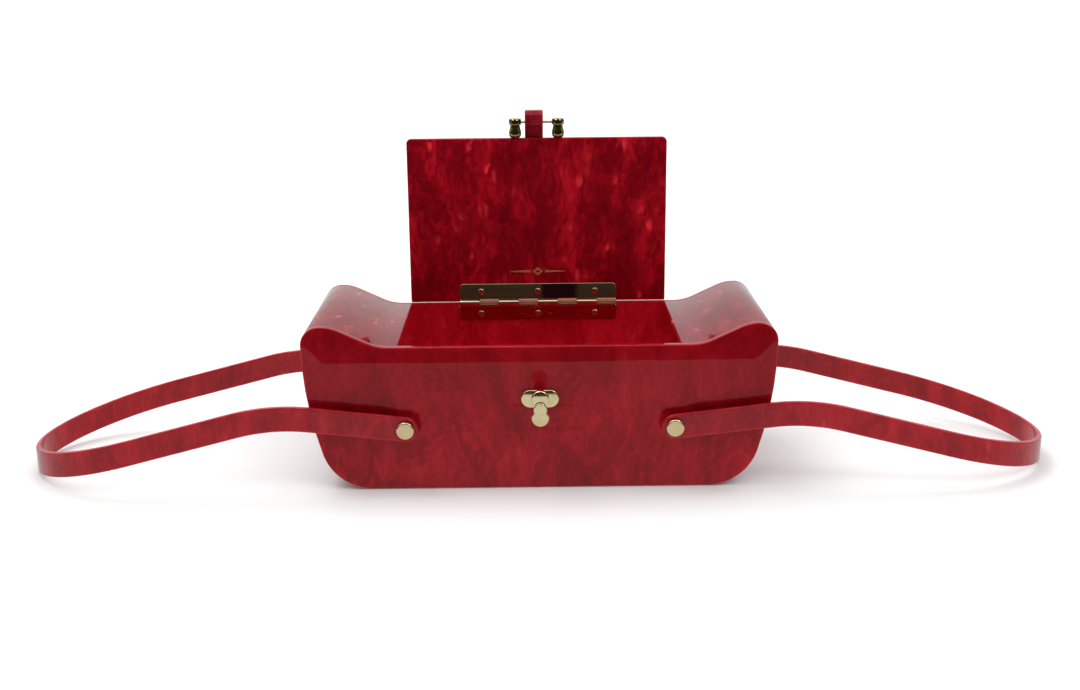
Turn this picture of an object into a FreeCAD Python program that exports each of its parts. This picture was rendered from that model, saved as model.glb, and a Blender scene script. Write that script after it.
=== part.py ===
import FreeCAD, Part

import math
import os

import Sketcher
from FreeCAD import Placement, Rotation, Vector

# A hard acrylic box handbag: a boat-shaped body, a flat lid that stands open on a butt hinge with a
# centred barrel, a swinging tongue that drops over a turning knob, and two looped strip handles.
# Millimetres. The origin is on the floor under the middle of the body, +Z up, -Y the front, +X right.

os.makedirs("parts", exist_ok=True)
doc = FreeCAD.newDocument("box_bag")

# ---------------------------------------------------------------------------------------------------
# Driving dimensions
# ---------------------------------------------------------------------------------------------------
DIMENSIONS = {
    # body
    "body_depth": 108.0,        # over both face panels
    "panel_wall": 4.0,          # face panels and lid
    "shell_wall": 3.5,          # base and curved ends
    "edge_round": 0.8,          # eased outer edges of the panels
    "base_half": 96.4,          # flat bottom, centre to the start of the corner
    "corner_radius": 30.0,
    "corner_turn": 72.67,
    "flank_radius": 218.0,      # slightly bowed side above the corner
    "shoulder_radius": 11.0,
    "crown_radius": 25.0,
    "dip_turn": 25.0,           # steepest slope of the saddle between shoulder and opening
    "dip_run": 16.7,
    "dip_radius": 29.7,
    "opening_half": 80.0,
    # lid and its hinge
    "lid_half": 80.3,
    "lid_length": 103.8,
    "lid_corner": 3.0,
    "rim_height": 84.8,         # top of the panels at the opening
    "pin_rise": 0.5,            # pin axis above the rim
    "pin_inset": 0.5,           # pin axis in front of the leaves' mounting plane
    "lid_gap": 0.2,             # between the open lid's end and the rim
    "lid_bevel": 3.0,           # reliefs beside the barrel
    "rim_bevel": 2.4,
    "leaf_length": 98.8,
    "leaf_reach": 12.0,         # pin axis to the leaf's outer edge
    "leaf_wall": 1.0,
    "leaf_corner": 2.5,
    "barrel_radius": 2.0,
    "pin_radius": 1.0,
    "running_fit": 0.05,
    "knuckle_gap": 0.2,
    "screw_pitch": 36.0,
    "screw_reach": 7.1,         # pin axis to the screws
    "screw_radius": 1.0,
    "screw_head": 1.9,
    "screw_head_rise": 0.7,
    "screw_depth": 3.0,
    # posts, rod and tongue at the lid's free edge
    "post_offset": 13.2,
    "post_rise": 11.7,
    "rod_rise": 9.7,
    "rod_radius": 0.8,
    "rod_half": 16.4,
    "tongue_shift": -1.6,
    "tongue_width": 11.2,
    "tongue_wall": 3.8,
    "tongue_clear": 2.3,        # rod axis to the near face of the leg
    "tongue_reach": 49.0,
    "paddle_width": 21.0,
    "paddle_start": 14.0,
    "slot_width": 13.6,
    "slot_start": 21.0,
    "slot_end": 45.6,
    # turning catch on the front panel
    "catch_height": 54.2,
    "plate_length": 21.5,
    "plate_width": 10.5,
    "plate_wall": 1.8,
    "collar_radius": 4.9,
    "collar_rise": 3.8,
    "neck_radius": 3.5,
    "spindle_radius": 2.0,
    "shaft_radius": 3.4,
    "knob_start": 16.5,
    "knob_wall": 4.0,
    "lobe_radius": 4.9,
    "lobe_offset": 5.45,
    "boss_radius": 3.75,
    "boss_rise": 1.5,
    "nut_flats": 10.0,
    "nut_wall": 2.5,
    "clip_radius": 3.4,
    "clip_bore": 1.6,
    "clip_wall": 0.6,
    # handles and the studs they turn on
    "stud_offset": 76.5,
    "stud_height": 38.5,
    "stud_head": 5.1,
    "stud_head_wall": 2.5,
    "stud_shank": 2.5,
    "spacer_radius": 4.5,
    "spacer_wall": 4.5,
    "cap_radius": 4.2,
    "cap_wall": 2.6,
    "side_play": 0.15,
    "strip_width": 14.5,
    "strip_wall": 3.0,
    "arm_slope": 6.40,          # of the straight stretch next to the stud
    "arm_run": 55.0,
    "arm_radius": 118.0,
    "arm_turn": 20.9,
    "loop_start": 158.0,        # stud to where the two arms begin to close in
    "loop_depth": 71.0,
}

sheet = doc.addObject("Spreadsheet::Sheet", "sizes")
for row, (alias, value) in enumerate(DIMENSIONS.items(), start=1):
    sheet.set(f"A{row}", alias)
    sheet.set(f"B{row}", str(value))
    sheet.setAlias(f"B{row}", alias)
doc.recompute()


def dim(alias):
    """A driving dimension, read back from the sheet."""
    return float(sheet.get(alias))


PIN_Z = dim("rim_height") + dim("pin_rise")
PIN_Y = dim("body_depth") / 2 - dim("panel_wall") - dim("pin_inset")
LID_Z = dim("rim_height") + dim("lid_gap")
LID_Y = dim("body_depth") / 2 - dim("panel_wall") / 2
ROD_Z = LID_Z + dim("lid_length") + dim("rod_rise")

# The same places as expressions of the sheet, for the placements.
PIN_Z_EXPR = "sizes.rim_height + sizes.pin_rise"
LID_Z_EXPR = "sizes.rim_height + sizes.lid_gap"
LID_TOP_EXPR = LID_Z_EXPR + " + sizes.lid_length"
LID_Y_EXPR = "sizes.body_depth / 2 - sizes.panel_wall / 2"
INNER_Y_EXPR = "sizes.body_depth / 2 - sizes.panel_wall"


# ---------------------------------------------------------------------------------------------------
# Helpers
# ---------------------------------------------------------------------------------------------------
def place(part, **axes):
    """Bind a sub-part's position to the sheet: place(part, y="sizes.body_depth / 2")."""
    for axis, expression in axes.items():
        part.setExpression(f"Placement.Base.{axis}", expression)


def new_body(label):
    body = doc.addObject("PartDesign::Body", label)
    body.Label = label
    return body


def new_sketch(body, role, name, offset=0.0):
    """A sketch on one of the body's origin planes, moved along the plane's normal."""
    sketch = body.newObject("Sketcher::SketchObject", name)
    plane = next(item for item in body.Origin.OriginFeatures if item.Role == role)
    sketch.AttachmentSupport = [(plane, "")]
    sketch.MapMode = "FlatFace"
    sketch.AttachmentOffset = Placement(Vector(0, 0, offset), Rotation())
    return sketch


def add_circle(sketch, x, y, radius_alias, extra=""):
    """A circle fixed in place, its radius bound to the sheet."""
    index = sketch.addGeometry(Part.Circle(Vector(x, y, 0), Vector(0, 0, 1), dim(radius_alias)))
    sketch.addConstraint(Sketcher.Constraint("DistanceX", -1, 1, index, 3, x))
    sketch.addConstraint(Sketcher.Constraint("DistanceY", -1, 1, index, 3, y))
    name = sketch.addConstraint(Sketcher.Constraint("Radius", index, dim(radius_alias)))
    sketch.setExpression(f"Constraints[{name}]", f"sizes.{radius_alias}{extra}")


def add_outline(sketch, points):
    """A closed outline of straight sides, joined end to end."""
    count = len(points)
    first = sketch.GeometryCount
    for i in range(count):
        start = Vector(*points[i], 0)
        end = Vector(*points[(i + 1) % count], 0)
        sketch.addGeometry(Part.LineSegment(start, end))
    for i in range(count):
        sketch.addConstraint(Sketcher.Constraint("Coincident", first + i, 2, first + (i + 1) % count, 1))


def add_curves(sketch, curves):
    for curve in curves:
        sketch.addGeometry(curve)


def add_slot(sketch, x0, y0, x1, y1, radius):
    """A round-ended slot whose end centres are (x0, y0) and (x1, y1)."""
    along = Vector(x1 - x0, y1 - y0, 0).normalize()
    side = Vector(-along.y, along.x, 0) * radius
    a, b = Vector(x0, y0, 0), Vector(x1, y1, 0)
    sketch.addGeometry(Part.LineSegment(a + side, b + side))
    sketch.addGeometry(Part.Arc(b + side, b + along * radius, b - side))
    sketch.addGeometry(Part.LineSegment(b - side, a - side))
    sketch.addGeometry(Part.Arc(a - side, a - along * radius, a + side))


def pad(body, sketch, name, length_expression, midplane=False, reversed_side=False):
    feature = body.newObject("PartDesign::Pad", name)
    feature.Profile = sketch
    feature.Midplane = midplane
    feature.Reversed = reversed_side
    feature.setExpression("Length", length_expression)
    return feature


def pocket(body, sketch, name, length_expression, midplane=False, reversed_side=False):
    feature = body.newObject("PartDesign::Pocket", name)
    feature.Profile = sketch
    feature.Midplane = midplane
    feature.Reversed = reversed_side
    feature.setExpression("Length", length_expression)
    before = body.Shape.Volume
    doc.recompute()
    if body.Shape.Volume >= before - 1e-6:
        raise RuntimeError(f"{body.Label}: {name} cuts nothing")
    return feature


def revolve(body, sketch, name):
    """A full turn about the sketch's own vertical axis."""
    feature = body.newObject("PartDesign::Revolution", name)
    feature.Profile = sketch
    feature.ReferenceAxis = (sketch, ["V_Axis"])
    feature.Angle = 360
    return feature


def ease_face(body, feature, normal, name):
    """Round the border of the flat face that looks along normal."""
    doc.recompute()
    faces = [
        (face.Area, f"Face{i}") for i, face in enumerate(feature.Shape.Faces, start=1)
        if isinstance(face.Surface, Part.Plane) and face.normalAt(0, 0).isEqual(normal, 1e-4)
    ]
    fillet = body.newObject("PartDesign::Fillet", name)
    fillet.Base = (feature, [max(faces)[1]])
    fillet.setExpression("Radius", "sizes.edge_round")
    return fillet


def walk(start, heading, moves, inset=0.0):
    """Tangent lines and arcs. A move is a length, or (radius, turn in degrees), left turns positive.

    The curve runs parallel to the walk, inset to its left. Returns the curves and the end point.
    """
    x, y = start
    angle = math.radians(heading)
    curves = []

    def at(px, py, direction):
        return Vector(px - inset * math.sin(direction), py + inset * math.cos(direction), 0)

    for move in moves:
        if isinstance(move, tuple):
            radius, turn = move
            sweep = math.radians(turn)
            sign = 1 if turn > 0 else -1
            cx = x - sign * radius * math.sin(angle)
            cy = y + sign * radius * math.cos(angle)
            ends = []
            for share in (0, 0.5, 1):
                direction = angle + sweep * share
                px = cx + sign * radius * math.sin(direction)
                py = cy - sign * radius * math.cos(direction)
                ends.append(at(px, py, direction))
            curves.append(Part.Arc(*ends))
            angle += sweep
            x, y = px, py
        else:
            before = at(x, y, angle)
            x += move * math.cos(angle)
            y += move * math.sin(angle)
            curves.append(Part.LineSegment(before, at(x, y, angle)))
    return curves, at(x, y, angle)


def mirrored(curves):
    """The same lines and circular arcs on the other side of the vertical axis."""
    copies = []
    for curve in curves:
        first, last = curve.FirstParameter, curve.LastParameter
        ends = [curve.value(first), curve.value((first + last) / 2), curve.value(last)]
        ends = [Vector(-point.x, point.y, 0) for point in ends]
        if isinstance(curve, Part.LineSegment):
            copies.append(Part.LineSegment(ends[0], ends[2]))
        else:
            copies.append(Part.Arc(*ends))
    return copies


# ---------------------------------------------------------------------------------------------------
# Body: two flat face panels with the base and two curved ends between them
# ---------------------------------------------------------------------------------------------------
END_MOVES = [
    (dim("corner_radius"), dim("corner_turn")),
    (dim("flank_radius"), 90 - dim("corner_turn")),
    (dim("shoulder_radius"), 90),
    (dim("crown_radius"), dim("dip_turn")),
    dim("dip_run"),
    (dim("dip_radius"), -dim("dip_turn")),
]
BASE_CORNER = (dim("base_half"), 0.0)


def panel_outline(sketch):
    side, saddle = walk(BASE_CORNER, 0, END_MOVES)
    left = mirrored(side)
    add_curves(sketch, side + left)
    sketch.addGeometry(Part.LineSegment(Vector(-BASE_CORNER[0], 0, 0), Vector(*BASE_CORNER, 0)))
    sketch.addGeometry(Part.LineSegment(Vector(-saddle.x, saddle.y, 0), saddle))


def face_panel(label, outward):
    """outward is -1 for the front and 1 for the back."""
    body = new_body(label)
    sketch = new_sketch(body, "XZ_Plane", label + "_outline")
    panel_outline(sketch)
    for side in (-1, 1):
        add_circle(sketch, side * dim("stud_offset"), dim("stud_height"), "stud_shank")
    if outward < 0:
        add_circle(sketch, 0, dim("catch_height"), "neck_radius")
    sheet_pad = pad(body, sketch, label + "_pad", "sizes.panel_wall", reversed_side=outward > 0)
    ease_face(body, sheet_pad, Vector(0, outward, 0), label + "_eased_edge")
    sign = "-" if outward < 0 else ""
    place(body, y=f"{sign}({INNER_Y_EXPR})")
    return body


front_panel = face_panel("front_panel", -1)
back_panel = face_panel("back_panel", 1)

# The back panel's inner face carries the hinge: three blind holes and a relief beside the barrel.
doc.recompute()
holes = new_sketch(back_panel, "XZ_Plane", "back_panel_screw_holes")
for column in (-1, 0, 1):
    add_circle(holes, column * dim("screw_pitch"), PIN_Z - dim("screw_reach"), "screw_radius")
pocket(back_panel, holes, "back_panel_holes", "sizes.screw_depth")
relief = new_sketch(back_panel, "YZ_Plane", "back_panel_relief_outline")
RIM = dim("rim_height") + 1.0
add_outline(relief, [(-1, RIM - 2 - dim("rim_bevel")), (-1, RIM), (1 + dim("rim_bevel"), RIM)])
pocket(back_panel, relief, "back_panel_relief", "sizes.leaf_length + 2", midplane=True)

base_panel = new_body("base_panel")
sketch = new_sketch(base_panel, "XZ_Plane", "base_panel_section")
half, wall = dim("base_half"), dim("shell_wall")
add_outline(sketch, [(-half, 0), (half, 0), (half, wall), (-half, wall)])
pad(base_panel, sketch, "base_panel_pad", "sizes.body_depth - 2 * sizes.panel_wall", midplane=True)

for label, side in (("end_shell_left", -1), ("end_shell_right", 1)):
    shell = new_body(label)
    sketch = new_sketch(shell, "XZ_Plane", label + "_section")
    outer, outer_end = walk(BASE_CORNER, 0, END_MOVES)
    inner, inner_end = walk(BASE_CORNER, 0, END_MOVES, inset=dim("shell_wall"))
    lip = dim("opening_half")
    section = outer + inner + [
        Part.LineSegment(Vector(*BASE_CORNER, 0), Vector(BASE_CORNER[0], dim("shell_wall"), 0)),
        Part.LineSegment(outer_end, Vector(lip, outer_end.y, 0)),
        Part.LineSegment(Vector(lip, outer_end.y, 0), Vector(lip, inner_end.y, 0)),
        Part.LineSegment(Vector(lip, inner_end.y, 0), inner_end),
    ]
    add_curves(sketch, section if side > 0 else mirrored(section))
    pad(shell, sketch, label + "_pad", "sizes.body_depth - 2 * sizes.panel_wall", midplane=True)

# ---------------------------------------------------------------------------------------------------
# Lid, standing open
# ---------------------------------------------------------------------------------------------------
lid_panel = new_body("lid_panel")
sketch = new_sketch(lid_panel, "XZ_Plane", "lid_panel_outline")
w, top, r = dim("lid_half"), dim("lid_length"), dim("lid_corner")
lid_curves, _ = walk((-w, 0), 0, [2 * w])
side_curves, _ = walk((w, 0), 90, [top - r, (r, 90), 2 * (w - r), (r, 90), top - r])
add_curves(sketch, lid_curves + side_curves)
lid_pad = pad(lid_panel, sketch, "lid_panel_pad", "sizes.panel_wall", midplane=True)
doc.recompute()
sketch = new_sketch(lid_panel, "YZ_Plane", "lid_panel_bevel_outline")
inner = -dim("panel_wall") / 2
add_outline(sketch, [(inner - 1, -1), (inner + dim("lid_bevel") + 1, -1), (inner - 1, 1 + dim("lid_bevel"))])
pocket(lid_panel, sketch, "lid_panel_bevel", "2 * sizes.lid_half + 2", midplane=True)
sketch = new_sketch(lid_panel, "XZ_Plane", "lid_panel_screw_holes", offset=dim("panel_wall") / 2)
for column in (-1, 0, 1):
    add_circle(sketch, column * dim("screw_pitch"), PIN_Z + dim("screw_reach") - LID_Z, "screw_radius")
pocket(lid_panel, sketch, "lid_panel_holes", "sizes.screw_depth")
sketch = new_sketch(lid_panel, "XY_Plane", "lid_panel_post_holes", offset=top)
for side in (-1, 1):
    add_circle(sketch, side * dim("post_offset"), 0, "screw_radius")
pocket(lid_panel, sketch, "lid_panel_sockets", "2 * sizes.screw_depth")
place(lid_panel, y=LID_Y_EXPR, z=LID_Z_EXPR)

# ---------------------------------------------------------------------------------------------------
# Hinge: two comb-edged leaves, eight knuckles in turn, one pin
# ---------------------------------------------------------------------------------------------------
KNUCKLES = 8
PITCH = dim("leaf_length") / KNUCKLES


def hinge_leaf(label, direction, first):
    """direction 1 reaches up from the pin and -1 down; first is its first knuckle, 0 or 1."""
    body = new_body(label)
    half, reach, r = dim("leaf_length") / 2, dim("leaf_reach"), dim("leaf_corner")
    gap, clear = dim("knuckle_gap") / 2, dim("barrel_radius") + 0.2
    near = direction * clear
    comb = [(-half, near)]
    for i in range(first, KNUCKLES, 2):
        left, right = -half + i * PITCH + gap, -half + (i + 1) * PITCH - gap
        comb += [(left, near), (left, 0), (right, 0), (right, near)]
    comb.append((half, near))
    comb = [p for i, p in enumerate(comb) if i == 0 or p != comb[i - 1]]
    sketch = new_sketch(body, "XZ_Plane", label + "_outline")
    for a, b in zip(comb, comb[1:]):
        sketch.addGeometry(Part.LineSegment(Vector(*a, 0), Vector(*b, 0)))
    rise = reach - clear - r
    edge, _ = walk((half, near), 90 * direction, [rise, (r, 90 * direction), 2 * (half - r),
                                                  (r, 90 * direction), rise])
    add_curves(sketch, edge)
    for column in (-1, 0, 1):
        x = column * dim("screw_pitch")
        add_circle(sketch, x, direction * dim("screw_reach"), "screw_radius", " + sizes.running_fit")
    pad(body, sketch, label + "_plate", "sizes.leaf_wall", midplane=True)
    sketch = new_sketch(body, "YZ_Plane", label + "_knuckle_circle", offset=-half + first * PITCH + gap)
    add_circle(sketch, 0, 0, "barrel_radius")
    length = f"sizes.leaf_length / {KNUCKLES} - sizes.knuckle_gap"
    knuckle = pad(body, sketch, label + "_knuckle", length)
    doc.recompute()
    pattern = body.newObject("PartDesign::LinearPattern", label + "_knuckles")
    pattern.Originals = [knuckle]
    pattern.Direction = (sketch, ["N_Axis"])
    pattern.Occurrences = KNUCKLES // 2
    pattern.setExpression("Length", f"sizes.leaf_length * {(KNUCKLES - 2) / KNUCKLES}")
    body.Tip = pattern
    doc.recompute()
    sketch = new_sketch(body, "YZ_Plane", label + "_bore_circle", offset=0)
    add_circle(sketch, 0, 0, "pin_radius", " + sizes.running_fit")
    pocket(body, sketch, label + "_bore", "sizes.leaf_length + 2", midplane=True)
    place(body, y=f"{INNER_Y_EXPR} - sizes.pin_inset", z=PIN_Z_EXPR)
    return body


hinge_leaf("hinge_leaf_body", -1, 0)
hinge_leaf("hinge_leaf_lid", 1, 1)

hinge_pin = doc.addObject("Part::Cylinder", "hinge_pin")
hinge_pin.Label = "hinge_pin"
hinge_pin.setExpression("Radius", "sizes.pin_radius")
hinge_pin.setExpression("Height", "sizes.leaf_length")
hinge_pin.Placement = Placement(Vector(), Rotation(Vector(0, 1, 0), 90))
place(hinge_pin, x="-sizes.leaf_length / 2", y=f"{INNER_Y_EXPR} - sizes.pin_inset", z=PIN_Z_EXPR)


def turned(profile, turn_axis):
    """A solid of revolution from (radius, height) points, its axis laid along turn_axis."""
    points = [Vector(radius, 0, height) for radius, height in profile]
    wire = Part.makePolygon(points + [points[0]])
    solid = Part.Face(wire).revolve(Vector(0, 0, 0), Vector(0, 0, 1), 360)
    solid.Placement = Placement(Vector(), Rotation(Vector(0, 0, 1), turn_axis))
    return solid


def screw(position):
    """A small slotted cheese-head screw that enters the panel along +Y."""
    rise, head, shank = dim("screw_head_rise"), dim("screw_head"), dim("screw_radius")
    depth = dim("leaf_wall") + dim("screw_depth")
    solid = turned([(0, -depth), (shank, -depth), (shank, 0), (head, 0), (head, rise * 0.5),
                    (head - rise * 0.5, rise), (0, rise)], Vector(0, -1, 0))
    slot = Part.makeBox(2 * head, rise, 0.4, Vector(-head, -rise * 1.5, -0.2))
    slot.rotate(Vector(0, 0, 0), Vector(0, 1, 0), 35)
    solid = solid.cut(slot)
    solid.translate(position)
    return solid


def group(label, solids, placement):
    """Identical loose pieces that share one node."""
    feature = doc.addObject("Part::Feature", label)
    feature.Label = label
    feature.Shape = Part.makeCompound(solids)
    feature.Placement = placement
    return feature


LEAF_FACE = PIN_Y - dim("leaf_wall") / 2
for label, direction in (("hinge_screws_body", -1), ("hinge_screws_lid", 1)):
    row = [screw(Vector(i * dim("screw_pitch"), 0, 0)) for i in (-1, 0, 1)]
    group(label, row, Placement(Vector(0, LEAF_FACE, PIN_Z + direction * dim("screw_reach")), Rotation()))

# ---------------------------------------------------------------------------------------------------
# Posts, rod and tongue
# ---------------------------------------------------------------------------------------------------
# Half profile of a turned post: foot, bulb, waist and the cap that holds the rod.
POST_PROFILE = [
    (2.1, 0.0), (3.2, 0.5), (3.85, 1.9), (3.85, 3.4), (3.4, 5.4), (2.95, 7.2),
    (3.0, 7.9), (3.75, 8.3), (3.85, 8.8), (3.85, 11.1), (3.4, 11.7),
]
for label, side in (("clasp_post_left", -1), ("clasp_post_right", 1)):
    post = new_body(label)
    sketch = new_sketch(post, "XZ_Plane", label + "_profile")
    stud, depth = dim("screw_radius"), 2 * dim("screw_depth")
    add_outline(sketch, [(0, -depth), (stud, -depth), (stud, 0)] + POST_PROFILE + [(0, dim("post_rise"))])
    revolve(post, sketch, label + "_turning")
    doc.recompute()
    bore = new_sketch(post, "YZ_Plane", label + "_rod_circle")
    add_circle(bore, 0, dim("rod_rise"), "rod_radius")
    pocket(post, bore, label + "_rod_bore", "4 * sizes.post_rise", midplane=True)
    place(post, x=f"{side} * sizes.post_offset", y=LID_Y_EXPR, z=LID_TOP_EXPR)

clasp_rod = doc.addObject("Part::Cylinder", "clasp_rod")
clasp_rod.Label = "clasp_rod"
clasp_rod.setExpression("Radius", "sizes.rod_radius")
clasp_rod.setExpression("Height", "2 * sizes.rod_half")
clasp_rod.Placement = Placement(Vector(), Rotation(Vector(0, 1, 0), 90))
place(clasp_rod, x="-sizes.rod_half", y=LID_Y_EXPR, z=LID_TOP_EXPR + " + sizes.rod_rise")

# The tongue in its own frame: the rod's axis is the origin and the leg hangs down behind it.
tongue = new_body("clasp_tongue")
near, far = dim("tongue_clear"), dim("tongue_clear") + dim("tongue_wall")
sketch = new_sketch(tongue, "YZ_Plane", "clasp_tongue_side")
hook = [(-4.6, -1.5), (-4.6, 4.6), (-2.6, 7.2), (far - 2.6, 7.2), (far, 4.6), (far, -dim("slot_start") + 1),
        (near, -dim("slot_start") + 1), (near, -1.5)]
add_outline(sketch, hook)
pad(tongue, sketch, "clasp_tongue_hook", "sizes.tongue_width", midplane=True)
doc.recompute()
sketch = new_sketch(tongue, "XZ_Plane", "clasp_tongue_paddle_outline", offset=-far)
half, end, r = dim("paddle_width") / 2, dim("tongue_reach"), dim("paddle_width") / 2
neck, start = dim("tongue_width") / 2, dim("paddle_start")
paddle_curves, _ = walk((neck, -start), -45, [(half - neck) * math.sqrt(2)])
sweep_curves, last = walk((half, -start - half + neck), -90, [end - r - start - half + neck, (r, -180),
                                                             end - r - start - half + neck])
closing, _ = walk((last.x, last.y), 45, [(half - neck) * math.sqrt(2)])
add_curves(sketch, paddle_curves + sweep_curves + closing)
sketch.addGeometry(Part.LineSegment(Vector(-neck, -start, 0), Vector(neck, -start, 0)))
slot_r = dim("slot_width") / 2
add_slot(sketch, 0, -dim("slot_start") - slot_r, 0, -dim("slot_end") + slot_r, slot_r)
pad(tongue, sketch, "clasp_tongue_paddle", "sizes.tongue_wall")
doc.recompute()
bore = new_sketch(tongue, "YZ_Plane", "clasp_tongue_bore_circle")
add_circle(bore, 0, 0, "rod_radius", " + sizes.running_fit")
pocket(tongue, bore, "clasp_tongue_bore", "sizes.paddle_width", midplane=True)
place(tongue, x="sizes.tongue_shift", y=LID_Y_EXPR, z=LID_TOP_EXPR + " + sizes.rod_rise")

# ---------------------------------------------------------------------------------------------------
# Turning catch. In each piece's own frame the panel's outer face is y = 0 and the axis runs to -Y.
# ---------------------------------------------------------------------------------------------------
CATCH = {"y": "-sizes.body_depth / 2", "z": "sizes.catch_height"}
NECK_END = dim("panel_wall") + dim("nut_wall") + 0.3

plate = new_body("catch_plate")
sketch = new_sketch(plate, "XZ_Plane", "catch_plate_outline")
reach = (dim("plate_length") - dim("plate_width")) / 2
add_slot(sketch, -reach, 0, reach, 0, dim("plate_width") / 2)
slab = pad(plate, sketch, "catch_plate_slab", "sizes.plate_wall")
doc.recompute()
rim = plate.newObject("PartDesign::Chamfer", "catch_plate_rim")
front_faces = [f"Face{i}" for i, face in enumerate(slab.Shape.Faces, start=1)
               if isinstance(face.Surface, Part.Plane) and face.normalAt(0, 0).y < -0.99]
rim.Base = (slab, front_faces)
rim.Size = 0.5
doc.recompute()
sketch = new_sketch(plate, "XZ_Plane", "catch_plate_collar_circle")
add_circle(sketch, 0, 0, "collar_radius")
pad(plate, sketch, "catch_plate_collar", "sizes.collar_rise")
sketch = new_sketch(plate, "XZ_Plane", "catch_plate_neck_circle")
add_circle(sketch, 0, 0, "neck_radius")
pad(plate, sketch, "catch_plate_neck", f"{NECK_END}", reversed_side=True)
doc.recompute()
sketch = new_sketch(plate, "XZ_Plane", "catch_plate_bore_circle")
add_circle(sketch, 0, 0, "spindle_radius", " + sizes.running_fit")
pocket(plate, sketch, "catch_plate_bore", "40", midplane=True)
place(plate, **CATCH)

nut = new_body("catch_nut")
sketch = new_sketch(nut, "XZ_Plane", "catch_nut_outline")
corner = dim("nut_flats") / math.sqrt(3)
add_outline(sketch, [(corner * math.cos(math.radians(60 * i)), corner * math.sin(math.radians(60 * i)))
                     for i in range(6)])
add_circle(sketch, 0, 0, "neck_radius")
pad(nut, sketch, "catch_nut_pad", "sizes.nut_wall", reversed_side=True)
place(nut, y=f"-({INNER_Y_EXPR})", z="sizes.catch_height")

CLIP_Y = NECK_END + 0.15
knob = new_body("turn_knob")
sketch = new_sketch(knob, "XZ_Plane", "turn_knob_lobes", offset=dim("knob_start"))
lobe, spread = dim("lobe_radius"), dim("lobe_offset")
waist = math.sqrt(lobe ** 2 - 2.9 ** 2)          # the lobes are joined by a waist 5.8 wide
for sign in (-1, 1):
    y_join = sign * (spread - waist)
    ends = [Vector(2.9, y_join, 0), Vector(0, sign * (spread + lobe), 0), Vector(-2.9, y_join, 0)]
    sketch.addGeometry(Part.Arc(*ends))
    sketch.addGeometry(Part.LineSegment(Vector(sign * 2.9, -(spread - waist), 0),
                                        Vector(sign * 2.9, spread - waist, 0)))
head = pad(knob, sketch, "turn_knob_head", "sizes.knob_wall")
doc.recompute()
rim = knob.newObject("PartDesign::Chamfer", "turn_knob_rim")
flats = [f"Face{i}" for i, face in enumerate(head.Shape.Faces, start=1)
         if isinstance(face.Surface, Part.Plane) and abs(face.normalAt(0, 0).y) > 0.99]
rim.Base = (head, flats)
rim.Size = 0.45
doc.recompute()
sketch = new_sketch(knob, "XZ_Plane", "turn_knob_boss_circle", offset=dim("knob_start"))
add_circle(sketch, 0, 0, "boss_radius")
pad(knob, sketch, "turn_knob_boss", "sizes.knob_wall + sizes.boss_rise")
sketch = new_sketch(knob, "XZ_Plane", "turn_knob_shaft_circle", offset=dim("collar_rise") + 0.15)
add_circle(sketch, 0, 0, "shaft_radius")
pad(knob, sketch, "turn_knob_shaft", "sizes.knob_start - sizes.collar_rise")
sketch = new_sketch(knob, "XZ_Plane", "turn_knob_spindle_circle", offset=dim("knob_start"))
add_circle(sketch, 0, 0, "spindle_radius")
spindle_tail = CLIP_Y + dim("clip_wall") + 0.8
pad(knob, sketch, "turn_knob_spindle", f"sizes.knob_start + {spindle_tail}", reversed_side=True)
doc.recompute()
sketch = new_sketch(knob, "XZ_Plane", "turn_knob_groove_ring", offset=-CLIP_Y)
add_circle(sketch, 0, 0, "spindle_radius", " + 1")
add_circle(sketch, 0, 0, "clip_bore")
pocket(knob, sketch, "turn_knob_groove", "sizes.clip_wall")
place(knob, **CATCH)

clip = new_body("knob_clip")
sketch = new_sketch(clip, "XZ_Plane", "knob_clip_ring", offset=-CLIP_Y)
add_circle(sketch, 0, 0, "clip_radius")
add_circle(sketch, 0, 0, "clip_bore")
pad(clip, sketch, "knob_clip_pad", "sizes.clip_wall", reversed_side=True)
place(clip, **CATCH)

# ---------------------------------------------------------------------------------------------------
# Studs, spacers and cap nuts, then the handles that turn on the studs
# ---------------------------------------------------------------------------------------------------
STRIP_NEAR = dim("spacer_wall") + dim("side_play")      # panel face to the strip
HEAD_SEAT = STRIP_NEAR + dim("strip_wall") + dim("side_play")
TAIL = dim("panel_wall") + dim("cap_wall") - 0.8
head, wall, shank = dim("stud_head"), dim("stud_head_wall"), dim("stud_shank")
STUD_PROFILE = [(0, -TAIL), (shank, -TAIL), (shank, HEAD_SEAT), (head, HEAD_SEAT),
                (head, HEAD_SEAT + wall - 0.8), (head - 0.8, HEAD_SEAT + wall), (0, HEAD_SEAT + wall)]
STUD_SITES = [(f"{face}_{name}", outward, side)
              for face, outward in (("front", -1), ("back", 1))
              for name, side in (("left", -1), ("right", 1))]
for name, outward, side in STUD_SITES:
    stud = new_body("stud_" + name)
    sketch = new_sketch(stud, "XY_Plane", f"stud_{name}_profile")
    add_outline(sketch, [(radius, outward * height) for radius, height in STUD_PROFILE])
    revolve(stud, sketch, f"stud_{name}_turning")
    place(stud, x=f"{side} * sizes.stud_offset", y=f"{outward} * sizes.body_depth / 2",
          z="sizes.stud_height")

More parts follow.
